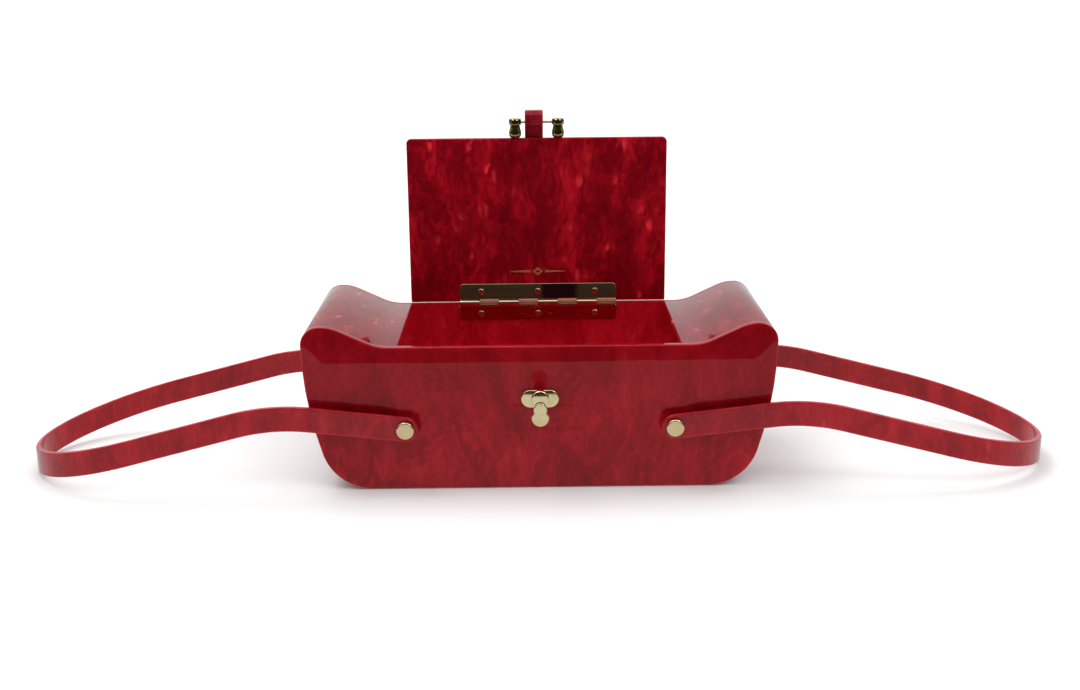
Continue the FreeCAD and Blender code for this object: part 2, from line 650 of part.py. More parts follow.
ring = [(shank, 0), (dim("spacer_radius"), 0), (dim("spacer_radius"), dim("spacer_wall")),
        (shank, dim("spacer_wall"))]
cap, cap_wall = dim("cap_radius"), dim("cap_wall")
cap_nut = [(shank, 0), (cap, 0), (cap, cap_wall - 0.6), (cap - 0.6, cap_wall), (0, cap_wall),
           (0, cap_wall - 0.8), (shank, cap_wall - 0.8)]
spacers, caps = [], []
for _, outward, side in STUD_SITES:
    face = outward * dim("body_depth") / 2
    for pieces, profile, seat, axis in ((spacers, ring, face, outward),
                                        (caps, cap_nut, face - outward * dim("panel_wall"), -outward)):
        piece = turned(profile, Vector(0, axis, 0))
        piece.translate(Vector(side * dim("stud_offset"), seat, 0))
        pieces.append(piece)
STUD_LEVEL = Placement(Vector(0, 0, dim("stud_height")), Rotation())
group("handle_spacers", spacers, STUD_LEVEL)
group("stud_caps", caps, STUD_LEVEL)


def side_band(side):
    """Side view of a handle: a band that runs out from the stud, over a crest and down."""
    width = dim("strip_width")
    slope, turn = dim("arm_slope"), dim("arm_turn")
    down = dim("loop_start") + dim("loop_depth") - dim("arm_run")
    moves = [dim("arm_run"), (dim("arm_radius"), -turn), down]
    half = width / 2
    lower, lower_end = walk((0, 0), slope, moves, inset=-half)
    upper, upper_end = walk((0, 0), slope, moves, inset=half)
    angle = math.radians(slope)
    normal = Vector(-math.sin(angle), math.cos(angle), 0) * half
    back = Vector(-math.cos(angle), -math.sin(angle), 0) * half
    curves = lower + upper + [Part.LineSegment(lower_end, upper_end), Part.Arc(normal, back, -normal)]
    return curves if side > 0 else mirrored(curves)


def plan_loop(side):
    """Plan of a handle: two parallel arms closed by half an ellipse."""
    near = dim("body_depth") / 2 + STRIP_NEAR
    start, depth = side * dim("loop_start"), dim("loop_depth")
    tail = -side * dim("strip_width")
    curves = []
    for reach, width in ((depth - dim("strip_wall"), near), (depth, near + dim("strip_wall"))):
        ellipse = Part.Ellipse(Vector(start + reach, 0, 0), Vector(start, width, 0), Vector(start, 0, 0))
        middle = 0 if side > 0 else math.pi
        curves.append(Part.ArcOfEllipse(ellipse, middle - math.pi / 2, middle + math.pi / 2))
        for sign in (-1, 1):
            curves.append(Part.LineSegment(Vector(tail, sign * width, 0), Vector(start, sign * width, 0)))
    for sign in (-1, 1):
        curves.append(Part.LineSegment(Vector(tail, sign * near, 0),
                                       Vector(tail, sign * (near + dim("strip_wall")), 0)))
    return curves


for label, side in (("handle_left", -1), ("handle_right", 1)):
    band_sketch = doc.addObject("Sketcher::SketchObject", label + "_side")
    band_sketch.Placement = Placement(Vector(0, 0, 0), Rotation(Vector(1, 0, 0), 90))
    add_curves(band_sketch, side_band(side))
    add_circle(band_sketch, 0, 0, "stud_shank", " + sizes.running_fit")
    band = doc.addObject("Part::Extrusion", label + "_band")
    band.Base = band_sketch
    band.DirMode = "Normal"
    band.Solid = True
    band.Symmetric = True
    band.setExpression("LengthFwd", "2 * sizes.body_depth")
    loop_sketch = doc.addObject("Sketcher::SketchObject", label + "_plan")
    add_curves(loop_sketch, plan_loop(side))
    loop = doc.addObject("Part::Extrusion", label + "_loop")
    loop.Base = loop_sketch
    loop.DirMode = "Normal"
    loop.Solid = True
    loop.Symmetric = True
    loop.setExpression("LengthFwd", "2 * sizes.body_depth")
    handle = doc.addObject("Part::MultiCommon", label)
    handle.Label = label
    handle.Shapes = [band, loop]
    place(handle, x=f"{side} * sizes.stud_offset", z="sizes.stud_height")

# ---------------------------------------------------------------------------------------------------
# Check and write
# ---------------------------------------------------------------------------------------------------
doc.recompute()
for item in doc.Objects:
    if "Invalid" in item.State or "Error" in item.State:
        raise RuntimeError(f"{item.Name}: {item.State}")

NODES = [item for item in doc.Objects
         if item.TypeId in ("PartDesign::Body", "Part::Cylinder", "Part::Feature", "Part::MultiCommon")]
for node in NODES:
    shape = node.Shape
    if shape.isNull() or not shape.isValid() or shape.Volume <= 0:
        raise RuntimeError(f"{node.Label}: bad shape")
    shape.exportStep(f"parts/{node.Label}.step")
    box = shape.BoundBox
    print(f"{node.Label:20s} solids {len(shape.Solids)}  volume {shape.Volume:10.1f}  "
          f"x {box.XMin:7.1f} {box.XMax:7.1f}  y {box.YMin:6.1f} {box.YMax:6.1f}  "
          f"z {box.ZMin:6.1f} {box.ZMax:6.1f}")
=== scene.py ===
import math

import bmesh
import bpy
from mathutils import Matrix, Vector
from mathutils.geometry import tessellate_polygon


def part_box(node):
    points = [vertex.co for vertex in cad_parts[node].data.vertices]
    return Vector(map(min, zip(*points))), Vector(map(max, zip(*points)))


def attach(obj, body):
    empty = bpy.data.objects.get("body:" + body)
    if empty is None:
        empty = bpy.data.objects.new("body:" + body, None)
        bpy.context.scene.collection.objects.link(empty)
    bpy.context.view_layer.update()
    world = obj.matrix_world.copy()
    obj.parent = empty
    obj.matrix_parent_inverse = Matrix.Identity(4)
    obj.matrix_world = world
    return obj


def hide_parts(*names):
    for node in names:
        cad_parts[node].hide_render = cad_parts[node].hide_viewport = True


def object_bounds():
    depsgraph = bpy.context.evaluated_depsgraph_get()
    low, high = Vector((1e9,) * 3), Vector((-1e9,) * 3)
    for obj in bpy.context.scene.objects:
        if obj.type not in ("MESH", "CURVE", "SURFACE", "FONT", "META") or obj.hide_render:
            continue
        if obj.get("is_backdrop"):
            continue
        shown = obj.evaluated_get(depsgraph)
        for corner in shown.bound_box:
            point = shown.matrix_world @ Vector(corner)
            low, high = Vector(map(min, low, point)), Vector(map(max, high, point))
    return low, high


# A red pearl acrylic box handbag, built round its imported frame. Metres, +Z up, -Y the front.

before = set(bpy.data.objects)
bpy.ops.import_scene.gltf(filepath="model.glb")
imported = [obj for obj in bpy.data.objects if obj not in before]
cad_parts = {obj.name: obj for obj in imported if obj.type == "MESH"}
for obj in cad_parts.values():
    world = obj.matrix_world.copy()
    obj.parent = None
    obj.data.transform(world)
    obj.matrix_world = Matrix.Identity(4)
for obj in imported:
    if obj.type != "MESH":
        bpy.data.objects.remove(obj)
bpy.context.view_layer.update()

MM = 0.001
CUTTER_EASE = 0.01 * MM
scene = bpy.context.scene
scene.view_settings.view_transform = "Standard"


# ---------------------------------------------------------------------------------------------------
# Outlines: lists of (u, v) points
# ---------------------------------------------------------------------------------------------------
ARC_STEP = math.radians(4)
SLOT_END_STEPS = 20
CORNER_STEPS = 5
MOST_OF_SIDE = 0.49                 # a rounded corner takes at most this share of each side
DOME_STEPS = 8


def walk(start, heading, moves, inset=0.0):
    """Tangent lines and arcs from start. A move is a length, or (radius, turn in degrees), left turns
    positive. The points run parallel to the walk, inset to its left."""
    x, y = start
    angle = math.radians(heading)
    points = [(x - inset * math.sin(angle), y + inset * math.cos(angle))]
    for move in moves:
        if isinstance(move, tuple):
            radius, turn = move
            sweep = math.radians(turn)
            sign = math.copysign(1, turn)
            cx, cy = x - sign * radius * math.sin(angle), y + sign * radius * math.cos(angle)
            steps = max(2, math.ceil(abs(sweep) / ARC_STEP))
            for i in range(1, steps + 1):
                at = angle + sweep * i / steps
                reach = sign * radius - inset
                points.append((cx + reach * math.sin(at), cy - reach * math.cos(at)))
            angle += sweep
            x, y = cx + sign * radius * math.sin(angle), cy - sign * radius * math.cos(angle)
        else:
            x, y = x + move * math.cos(angle), y + move * math.sin(angle)
            points.append((x - inset * math.sin(angle), y + inset * math.cos(angle)))
    return points


def circle(u, v, radius, count=48, clockwise=False):
    turn = -1 if clockwise else 1
    return [(u + radius * math.cos(turn * math.tau * i / count),
             v + radius * math.sin(turn * math.tau * i / count)) for i in range(count)]


def slot_loop(u0, v0, u1, v1, radius, clockwise=False):
    """A round-ended slot between two end centres."""
    heading = math.atan2(v1 - v0, u1 - u0)
    loop = []
    for (u, v), base in (((u1, v1), heading - math.pi / 2), ((u0, v0), heading + math.pi / 2)):
        turns = [base + math.pi * i / SLOT_END_STEPS for i in range(SLOT_END_STEPS + 1)]
        loop += [(u + radius * math.cos(a), v + radius * math.sin(a)) for a in turns]
    return loop[::-1] if clockwise else loop


def round_corners(points, radius, closed=True, least=math.radians(30)):
    """Replace each corner that turns by more than least with a small arc."""
    result = []
    count = len(points)
    for i, point in enumerate(points):
        here = Vector(point)
        if not closed and i in (0, count - 1):
            result.append(point)
            continue
        into, out = here - Vector(points[i - 1]), Vector(points[(i + 1) % count]) - here
        turn = into.angle_signed(out, 0.0)
        if abs(turn) < least:
            result.append(point)
            continue
        cut = min(radius * math.tan(abs(turn) / 2), MOST_OF_SIDE * into.length, MOST_OF_SIDE * out.length)
        a, b = here - into.normalized() * cut, here + out.normalized() * cut
        for k in range(CORNER_STEPS + 1):
            share = k / CORNER_STEPS
            result.append(tuple((1 - share) ** 2 * a + 2 * share * (1 - share) * here + share ** 2 * b))
    return result


def dome(radius, rise, foot):
    """The profile of a domed head, from its rim to its crown. foot is the straight share of its rise."""
    turns = [math.pi / 2 * k / DOME_STEPS for k in range(1, DOME_STEPS)]
    crown = [(radius * math.cos(a), rise * (foot + (1 - foot) * math.sin(a))) for a in turns]
    return [(radius, foot * rise)] + crown + [(0, rise)]


def offset_loop(points, distance):
    """A closed loop moved to its left."""
    moved = []
    count = len(points)
    for i, point in enumerate(points):
        here = Vector(point)
        into = (here - Vector(points[i - 1])).normalized()
        out = (Vector(points[(i + 1) % count]) - here).normalized()
        along = (into + out).normalized()
        stretch = 1 / max(0.5, along.dot(out))
        moved.append((here.x - along.y * distance * stretch, here.y + along.x * distance * stretch))
    return moved


# ---------------------------------------------------------------------------------------------------
# Mesh builders
# ---------------------------------------------------------------------------------------------------
SHARP = math.radians(38)
WELD = 1e-7
ROUND_STEPS = 4


def XZ(u, v, w):
    return Vector((u, w, v))


def YZ(u, v, w):
    return Vector((w, u, v))


def XY(u, v, w):
    return Vector((u, v, w))


def to_object(name, bm):
    bmesh.ops.remove_doubles(bm, verts=bm.verts, dist=WELD)
    bmesh.ops.recalc_face_normals(bm, faces=bm.faces)
    mesh = bpy.data.meshes.new(name)
    bm.to_mesh(mesh)
    bm.free()
    mesh.set_sharp_from_angle(angle=SHARP)
    piece = bpy.data.objects.new(name, mesh)
    scene.collection.objects.link(piece)
    return piece


def add_sheet(bm, outer, holes, low, high, ease_low, ease_high, plane):
    """A flat sheet between two planes, with rounded borders. outer runs anticlockwise, holes clockwise."""
    levels = []
    for step in range(ROUND_STEPS + 1):
        turn = math.pi / 2 * step / ROUND_STEPS
        levels.append((ease_low * (1 - math.sin(turn)), low + ease_low * (1 - math.cos(turn))))
    for step in range(ROUND_STEPS, -1, -1):
        turn = math.pi / 2 * step / ROUND_STEPS
        levels.append((ease_high * (1 - math.sin(turn)), high - ease_high * (1 - math.cos(turn))))
    loops = [outer] + holes
    rings = []
    for inset, w in levels:
        rings.append([[bm.verts.new(plane(u, v, w)) for u, v in offset_loop(loop, inset)] for loop in loops])
    for below, above in zip(rings, rings[1:]):
        for a, b in zip(below, above):
            for i in range(len(a)):
                k = (i + 1) % len(a)
                bm.faces.new((a[i], a[k], b[k], b[i])).smooth = True
    for ring, (inset, _) in ((rings[0], levels[0]), (rings[-1], levels[-1])):
        flat = [[Vector((*point, 0)) for point in offset_loop(loop, inset)] for loop in loops]
        corners = [vert for loop in ring for vert in loop]
        for triangle in tessellate_polygon(flat):
            bm.faces.new([corners[i] for i in triangle]).smooth = False


def sheet(name, outer, low, high, plane, ease=0.2 * MM, ease_high=None, holes=()):
    bm = bmesh.new()
    add_sheet(bm, outer, list(holes), low, high, ease, ease if ease_high is None else ease_high, plane)
    return to_object(name, bm)


def add_lathe(bm, profile, origin, axis, count=72, closed=False):
    """A turned shape from (radius, height) points along an axis. A closed profile makes a ring."""
    turn = Vector((0, 0, 1)).rotation_difference(Vector(axis)).to_matrix().to_4x4()
    place = Matrix.Translation(origin) @ turn
    rings = []
    for radius, height in profile:
        if radius < 1e-9:
            rings.append([bm.verts.new(place @ Vector((0, 0, height)))] * count)
        else:
            rings.append([bm.verts.new(place @ Vector((radius * math.cos(math.tau * i / count),
                                                       radius * math.sin(math.tau * i / count), height)))
                          for i in range(count)])
    pairs = list(zip(rings, rings[1:])) + ([(rings[-1], rings[0])] if closed else [])
    for a, b in pairs:
        for i in range(count):
            k = (i + 1) % count
            corners = list(dict.fromkeys((a[i], a[k], b[k], b[i])))
            if len(corners) > 2:
                bm.faces.new(corners).smooth = True


def lathe(name, profiles, closed=False, count=72):
    """Several turned shapes in one piece: (profile, origin, axis) each."""
    bm = bmesh.new()
    for profile, origin, axis in profiles:
        add_lathe(bm, profile, origin, axis, count, closed)
    return to_object(name, bm)


def join(pieces, name):
    """Several closed shapes as one piece."""
    bm = bmesh.new()
    for piece in pieces:
        bm.from_mesh(piece.data)
        bpy.data.objects.remove(piece)
    return to_object(name, bm)


def subtract(piece, cutter):
    """Cut one mesh out of another and keep the result as plain mesh."""
    modifier = piece.modifiers.new("cut", "BOOLEAN")
    modifier.operation = "DIFFERENCE"
    modifier.solver = "EXACT"
    modifier.object = cutter
    result = bpy.data.meshes.new_from_object(piece.evaluated_get(bpy.context.evaluated_depsgraph_get()))
    piece.modifiers.clear()
    piece.data = result
    result.set_sharp_from_angle(angle=SHARP)
    bpy.data.objects.remove(cutter)


# ---------------------------------------------------------------------------------------------------
# Materials
# ---------------------------------------------------------------------------------------------------
class Nodes:
    """A small helper that adds shader nodes and links them."""

    def __init__(self, tree):
        self.tree = tree
        tree.nodes.clear()

    def add(self, kind, inputs=None, **settings):
        node = self.tree.nodes.new(kind)
        for key, value in settings.items():
            setattr(node, key, value)
        for key, value in (inputs or {}).items():
            if isinstance(value, bpy.types.NodeSocket):
                self.tree.links.new(value, node.inputs[key])
            else:
                node.inputs[key].default_value = value
        return node

    def math(self, operation, a, b=0.5):
        return self.add("ShaderNodeMath", {0: a, 1: b}, operation=operation).outputs[0]

    def vector(self, operation, a, b):
        return self.add("ShaderNodeVectorMath", {0: a, 1: b}, operation=operation)

    def noise(self, vector, scale, detail=3.0, roughness=0.55, distortion=0.0):
        values = {"Vector": vector, "Scale": scale, "Detail": detail, "Roughness": roughness,
                  "Distortion": distortion}
        return self.add("ShaderNodeTexNoise", values)

    def spread(self, value, low, high, to_low=0.0, to_high=1.0):
        values = {0: value, 1: low, 2: high, 3: to_low, 4: to_high}
        return self.add("ShaderNodeMapRange", values, interpolation_type="SMOOTHSTEP").outputs[0]

    def blend(self, factor, a, b):
        node = self.add("ShaderNodeMix", data_type="RGBA")
        for index, value in ((0, factor), (6, a), (7, b)):
            if isinstance(value, bpy.types.NodeSocket):
                self.tree.links.new(value, node.inputs[index])
            else:
                node.inputs[index].default_value = value
        return node.outputs[2]


def colour(red, green, blue):
    return (red, green, blue, 1.0)


BOX_MIDDLE = (0.0, 0.0, 0.05)
TONE_MIDDLE, TONE_REACH = 0.615, 0.30
TOP_SHADE_HEIGHT = 0.095
ROLL_HALF, ROLL_BLUR = 2.3 * MM, 0.1 * MM               # half the height of the hinge's rolls, which bound the painted roll highlight
DARK_REFLECTION_LEFT, DARK_REFLECTION_RIGHT = (1 * MM, 4 * MM), (27 * MM, 22 * MM)      # from none to the full painted dark reflection, across x
pin_low, pin_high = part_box("hinge_pin")
PIN_Y, PIN_Z = (pin_low.y + pin_high.y) / 2, (pin_low.z + pin_high.z) / 2


def acrylic(name, grain, seed, deep, mid, bright, pearl, pearl_share, contrast=1.0, glow=0.0,
            skin_index=1.26, painted_top_shade=0.0, swirl=0.030, thread_share=0.45):
    """Pearl acrylic: warped clouds and wisps under a clear polished skin. grain stretches the pattern,
    glow the strength of a painted glow, emission on the faces turned to the box's middle that stands in
    for the light carried through the sheets, painted_top_shade how far the tone is darkened towards the rim
    as painted shade, swirl how far the clouds are stirred, thread_share how strong the dark threads between
    them are."""
    material = bpy.data.materials.new(name)
    material.use_nodes = True
    n = Nodes(material.node_tree)
    coordinates = n.add("ShaderNodeTexCoord")
    place = coordinates.outputs["Object"]
    mapped = n.add("ShaderNodeMapping", {"Vector": place, "Location": (seed, seed * 0.7, -seed),
                                         "Scale": grain}).outputs[0]
    drift = n.noise(mapped, 42.0, 3.0)
    centred = n.vector("SUBTRACT", drift.outputs["Color"], (0.5, 0.5, 0.5)).outputs[0]
    pushed = n.add("ShaderNodeVectorMath", {0: centred, "Scale": swirl}, operation="SCALE").outputs[0]
    flow = n.vector("ADD", mapped, pushed).outputs[0]
    clouds = n.noise(flow, 58.0, 3.0, 0.5).outputs["Fac"]
    wisps = n.noise(flow, 210.0, 4.0, 0.58, 1.0).outputs["Fac"]
    ridge = n.math("ABSOLUTE", n.math("SUBTRACT", wisps, 0.5))
    threads = n.spread(ridge, 0.0, 0.06, 1.0, 0.0)
    fine = n.noise(flow, 700.0, 3.0, 0.6).outputs["Fac"]
    flakes = n.add("ShaderNodeTexVoronoi", {"Vector": flow, "Scale": 190.0, "Smoothness": 0.4},
                   feature="SMOOTH_F1")
    flake_tone = n.add("ShaderNodeSeparateColor", {0: flakes.outputs["Color"]}).outputs[0]
    flake_edge = n.spread(flakes.outputs["Distance"], 0.12, 0.55, 1.0, 0.0)

    tone = n.math("ADD", n.math("MULTIPLY", clouds, 0.50), n.math("MULTIPLY", wisps, 0.55))
    tone = n.math("ADD", tone, n.math("MULTIPLY", fine, 0.18))
    tone = n.spread(tone, TONE_MIDDLE - TONE_REACH / contrast, TONE_MIDDLE + TONE_REACH / contrast)
    ramp = n.add("ShaderNodeValToRGB", {"Fac": tone})
    stops = ramp.color_ramp.elements
    stops[0].position, stops[0].color = 0.0, colour(*deep)
    stops[1].position, stops[1].color = 1.0, colour(*bright)
    stops.new(0.5).color = colour(*mid)
    dark_threads = n.math("MULTIPLY", threads, n.spread(clouds, 0.56, 0.40))
    shade = n.blend(n.math("MULTIPLY", dark_threads, thread_share), ramp.outputs["Color"], colour(*deep))
    gleam = n.math("MULTIPLY", n.math("MULTIPLY", flake_edge, n.spread(flake_tone, 0.55, 0.95)),
                   n.spread(clouds, 0.47, 0.62))
    shade = n.blend(n.math("MULTIPLY", gleam, pearl_share), shade, colour(*pearl))
    # Painted shade: the tone is darkened towards the rim, standing in for the bounce light that brightens the
    # lower panel.
    rise = n.add("ShaderNodeSeparateXYZ", {0: place}).outputs["Z"]
    shade = n.blend(n.spread(rise, 0.0, TOP_SHADE_HEIGHT, 0.0, painted_top_shade), shade, colour(*deep))

    relief = n.math("ADD", n.math("MULTIPLY", clouds, 0.6), n.math("MULTIPLY", wisps, 0.4))
    inner = n.add("ShaderNodeBump", {"Strength": 0.30, "Distance": 0.0010, "Height": relief}).outputs[0]
    ripple = n.noise(place, 26.0, 2.0).outputs["Fac"]
    skin = n.add("ShaderNodeBump", {"Strength": 0.035, "Distance": 0.004, "Height": ripple}).outputs[0]
    gloss = n.spread(wisps, 0.3, 0.7, 0.32, 0.46)
    # Painted glow: emission on the faces turned to the box's middle stands in for the light carried through
    # the sheets.
    from_middle = n.vector("SUBTRACT", place, BOX_MIDDLE).outputs[0]
    outward = n.vector("DOT_PRODUCT", coordinates.outputs["Normal"], from_middle).outputs["Value"]
    painted_inner_glow = n.spread(outward, -0.005, -0.035, 0.0, glow)
    shader = n.add("ShaderNodeBsdfPrincipled", {
        "Base Color": shade, "Metallic": 0.12, "Roughness": gloss, "IOR": 1.49, "Specular IOR Level": 0.03,
        "Subsurface Weight": 0.6, "Subsurface Radius": (1.0, 0.08, 0.1), "Subsurface Scale": 0.010,
        "Normal": inner, "Coat Weight": 1.0, "Coat Roughness": 0.025, "Coat IOR": skin_index,
        "Coat Normal": skin,
        "Emission Color": shade, "Emission Strength": painted_inner_glow})
    n.add("ShaderNodeOutputMaterial", {"Surface": shader.outputs[0]})
    return material


def gold(name, tint, roughness, brushed, face=None, dark_reflection=None, dulled=0.0, roll_highlight=None, roll_dulled=0.0):
    """Polished pale gold plate with faint polishing marks and slight tone shifts. face is a painted
    reflection on the leaf's flats turned to the front, above or below the rolls, dark_reflection a darker
    painted reflection over part of them, roll_highlight a painted highlight on the rolls' fronts, dulled and
    roll_dulled how far each loses its metal gloss."""
    material = bpy.data.materials.new(name)
    material.use_nodes = True
    n = Nodes(material.node_tree)
    coordinates = n.add("ShaderNodeTexCoord")
    place = coordinates.outputs["Object"]
    tarnish = n.noise(place, 160.0, 4.0).outputs["Fac"]
    marks = n.noise(n.add("ShaderNodeMapping", {"Vector": place, "Scale": brushed}).outputs[0], 900.0, 4.0,
                    0.65).outputs["Fac"]
    warm = colour(tint[0] * 0.93, tint[1] * 0.88, tint[2] * 0.78)
    shade = n.blend(n.spread(tarnish, 0.40, 0.72), colour(*tint), warm)
    metal = 1.0
    if face:
        # Painted reflections and highlight on the hinge leaves: flats turned to the front take painted
        # reflection tones, the rolls' fronts a painted highlight, and both lose metal gloss so the paint
        # shows.
        front = n.vector("DOT_PRODUCT", coordinates.outputs["Normal"], (0.0, -1.0, 0.0)).outputs["Value"]
        apart = n.add("ShaderNodeSeparateXYZ", {0: place})
        across = apart.outputs["X"]
        from_roll = n.math("ABSOLUTE", n.math("SUBTRACT", apart.outputs["Z"], PIN_Z))
        dark_reflection_share = n.math("MULTIPLY", n.spread(across, *DARK_REFLECTION_LEFT), n.spread(across, *DARK_REFLECTION_RIGHT))
        painted_flat_reflection = n.blend(dark_reflection_share, colour(*face), colour(*(dark_reflection or face)))
        turned = n.spread(front, 0.94, 0.99)
        on_leaf = n.spread(from_roll, ROLL_HALF, ROLL_HALF + ROLL_BLUR)
        flat = n.math("MULTIPLY", turned, on_leaf)
        highlight_bar = n.math("MULTIPLY", turned, n.math("SUBTRACT", 1.0, on_leaf))
        shade = n.blend(flat, shade, painted_flat_reflection)
        shade = n.blend(highlight_bar, shade, colour(*(roll_highlight or tint)))
        lost = n.math("ADD", n.math("MULTIPLY", flat, dulled), n.math("MULTIPLY", highlight_bar, roll_dulled))
        metal = n.math("SUBTRACT", 1.0, lost)
    rough = n.math("ADD", n.spread(marks, 0.35, 0.75, 0.0, 0.07), roughness)
    relief = n.add("ShaderNodeBump", {"Strength": 0.05, "Distance": 0.0002, "Height": marks}).outputs[0]
    shader = n.add("ShaderNodeBsdfPrincipled", {
        "Base Color": shade, "Metallic": metal, "Roughness": rough, "Normal": relief})
    n.add("ShaderNodeOutputMaterial", {"Surface": shader.outputs[0]})
    return material


DEEP, MID, BRIGHT = (0.20, 0.001, 0.005), (0.33, 0.004, 0.011), (0.46, 0.010, 0.022)
PEARL = (0.85, 0.14, 0.12)
UPRIGHT = (1.0, 1.0, 0.5)           # a pattern drawn out upwards
# Each sheet's glow is a painted glow on its inner faces; the panel's tone is also darkened towards the rim as
# painted shade.
panel_red = acrylic("acrylic_panel", UPRIGHT, 0.31, (0.20, 0.001, 0.004), (0.385, 0.004, 0.012),
                    (0.53, 0.011, 0.025), PEARL, 0.10, contrast=1.1, glow=0.38, skin_index=1.32, painted_top_shade=0.60)
lid_red = acrylic("acrylic_lid", UPRIGHT, 1.73, (0.115, 0.0, 0.003), (0.20, 0.001, 0.006),
                  (0.40, 0.005, 0.014), (0.90, 0.050, 0.055), 0.5, contrast=1.2, glow=0.22, swirl=0.014,
                  thread_share=0.12)
shell_red = acrylic("acrylic_shell", (1.0, 0.5, 1.0), 2.9, (0.11, 0.001, 0.004), (0.20, 0.003, 0.009),
                    (0.31, 0.010, 0.020), (0.95, 0.22, 0.2), 0.7, glow=0.70)
strip_red = acrylic("acrylic_strip", (1.2, 1.2, 0.5), 4.1, DEEP, MID, BRIGHT, PEARL, 0.15, skin_index=1.40)
tongue_red = acrylic("acrylic_tongue", UPRIGHT, 5.3, (0.15, 0.003, 0.010), (0.23, 0.006, 0.018),
                     (0.32, 0.012, 0.026), PEARL, 0.1)

# Which way the polishing marks run.
SIDEWAYS, UP_AND_DOWN, EVEN = (0.1, 1.0, 1.0), (1.0, 1.0, 0.2), (1.0, 1.0, 1.0)
pale_gold = gold("pale_gold", (0.77, 0.605, 0.35), 0.07, UP_AND_DOWN)
catch_gold = gold("catch_gold", (0.82, 0.71, 0.42), 0.07, UP_AND_DOWN)
pin_gold = gold("pin_gold", (0.72, 0.56, 0.34), 0.12, SIDEWAYS)
# The hinge leaves carry painted reflections: red on the body leaf's flats, dark olive with a darker painted
# reflection over part of the lid leaf's flats, and a peach painted highlight on the lid leaf's rolls.
leaf_gold = gold("leaf_gold", (0.80, 0.60, 0.40), 0.09, SIDEWAYS, face=(0.42, 0.20, 0.16))
lid_leaf_gold = gold("lid_leaf_gold", (0.80, 0.60, 0.36), 0.09, SIDEWAYS, face=(0.055, 0.060, 0.031),
                     dark_reflection=(0.006, 0.006, 0.009), dulled=0.85, roll_highlight=(0.85, 0.30, 0.22), roll_dulled=0.75)
post_gold = gold("post_gold", (0.36, 0.30, 0.13), 0.07, UP_AND_DOWN)
foil_gold = gold("foil_gold", (0.90, 0.60, 0.27), 0.5, EVEN)

# ---------------------------------------------------------------------------------------------------
# Pieces of the body
# ---------------------------------------------------------------------------------------------------
def keep(piece, node, body, material):
    """Put a piece in its CAD node's place."""
    piece.data.materials.clear()
    piece.data.materials.append(material)
    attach(piece, body)
    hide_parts(node)


front_low, front_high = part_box("front_panel")
back_low, back_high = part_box("back_panel")
OUTER_EASE = 0.9 * MM
INNER_EASE = 0.25 * MM
BASE_EASE = 0.15 * MM
SHELL_WALL, SHELL_CORNER, SHELL_EASE = 3.5 * MM, 0.8 * MM, 0.12 * MM
BASE_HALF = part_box("base_panel")[1].x
OPENING_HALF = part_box("end_shell_right")[0].x
END_MOVES = [(30 * MM, 72.67), (218 * MM, 17.33), (11 * MM, 90), (25 * MM, 25), 16.7 * MM, (29.7 * MM, -25)]
side_curve = walk((BASE_HALF, 0), 0, END_MOVES)
panel_loop = side_curve + [(-u, v) for u, v in reversed(side_curve)]

SHANK = 2.5 * MM
STUD_X, STUD_Z = [(a + b) / 2 for a, b in zip(*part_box("stud_front_right"))][0::2]
stud_holes = [circle(side * STUD_X, STUD_Z, SHANK, clockwise=True) for side in (-1, 1)]
catch_low, catch_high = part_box("catch_plate")
CATCH_Z = (catch_low.z + catch_high.z) / 2
NECK = 3.5 * MM

front_panel = sheet("front_panel_look", panel_loop, front_low.y, front_high.y, XZ, OUTER_EASE, INNER_EASE,
                    stud_holes + [circle(0, CATCH_Z, NECK, clockwise=True)])
keep(front_panel, "front_panel", "box", panel_red)

back_panel = sheet("back_panel_look", panel_loop, back_low.y, back_high.y, XZ, INNER_EASE, OUTER_EASE,
                   stud_holes)
LEAF_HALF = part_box("hinge_leaf_body")[1].x
RIM = 84.8 * MM
RIM_BEVEL = 2.4 * MM
MARGIN = 1 * MM
relief = [(back_low.y - MARGIN, RIM + MARGIN), (back_low.y - MARGIN, RIM - RIM_BEVEL - MARGIN),
          (back_low.y + RIM_BEVEL + MARGIN, RIM + MARGIN)]
subtract(back_panel, sheet("relief", relief, -LEAF_HALF - MARGIN, LEAF_HALF + MARGIN, YZ, CUTTER_EASE))
keep(back_panel, "back_panel", "box", panel_red)

base_low, base_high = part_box("base_panel")
base_loop = [(base_low.x, base_low.y), (base_high.x, base_low.y), (base_high.x, base_high.y),
             (base_low.x, base_high.y)]
keep(sheet("base_panel_look", base_loop, base_low.z, base_high.z, XY, BASE_EASE), "base_panel", "box",
     shell_red)

inner_curve = walk((BASE_HALF, 0), 0, END_MOVES, inset=SHELL_WALL)
lip = [(OPENING_HALF, side_curve[-1][1]), (OPENING_HALF, inner_curve[-1][1])]
shell_loop = round_corners(side_curve + lip + inner_curve[::-1], SHELL_CORNER, least=math.radians(60))
for name, side in (("end_shell_left", -1), ("end_shell_right", 1)):
    loop = shell_loop if side > 0 else [(-u, v) for u, v in reversed(shell_loop)]
    low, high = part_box(name)
    keep(sheet(name + "_look", loop, low.y, high.y, XZ, SHELL_EASE), name, "box", shell_red)

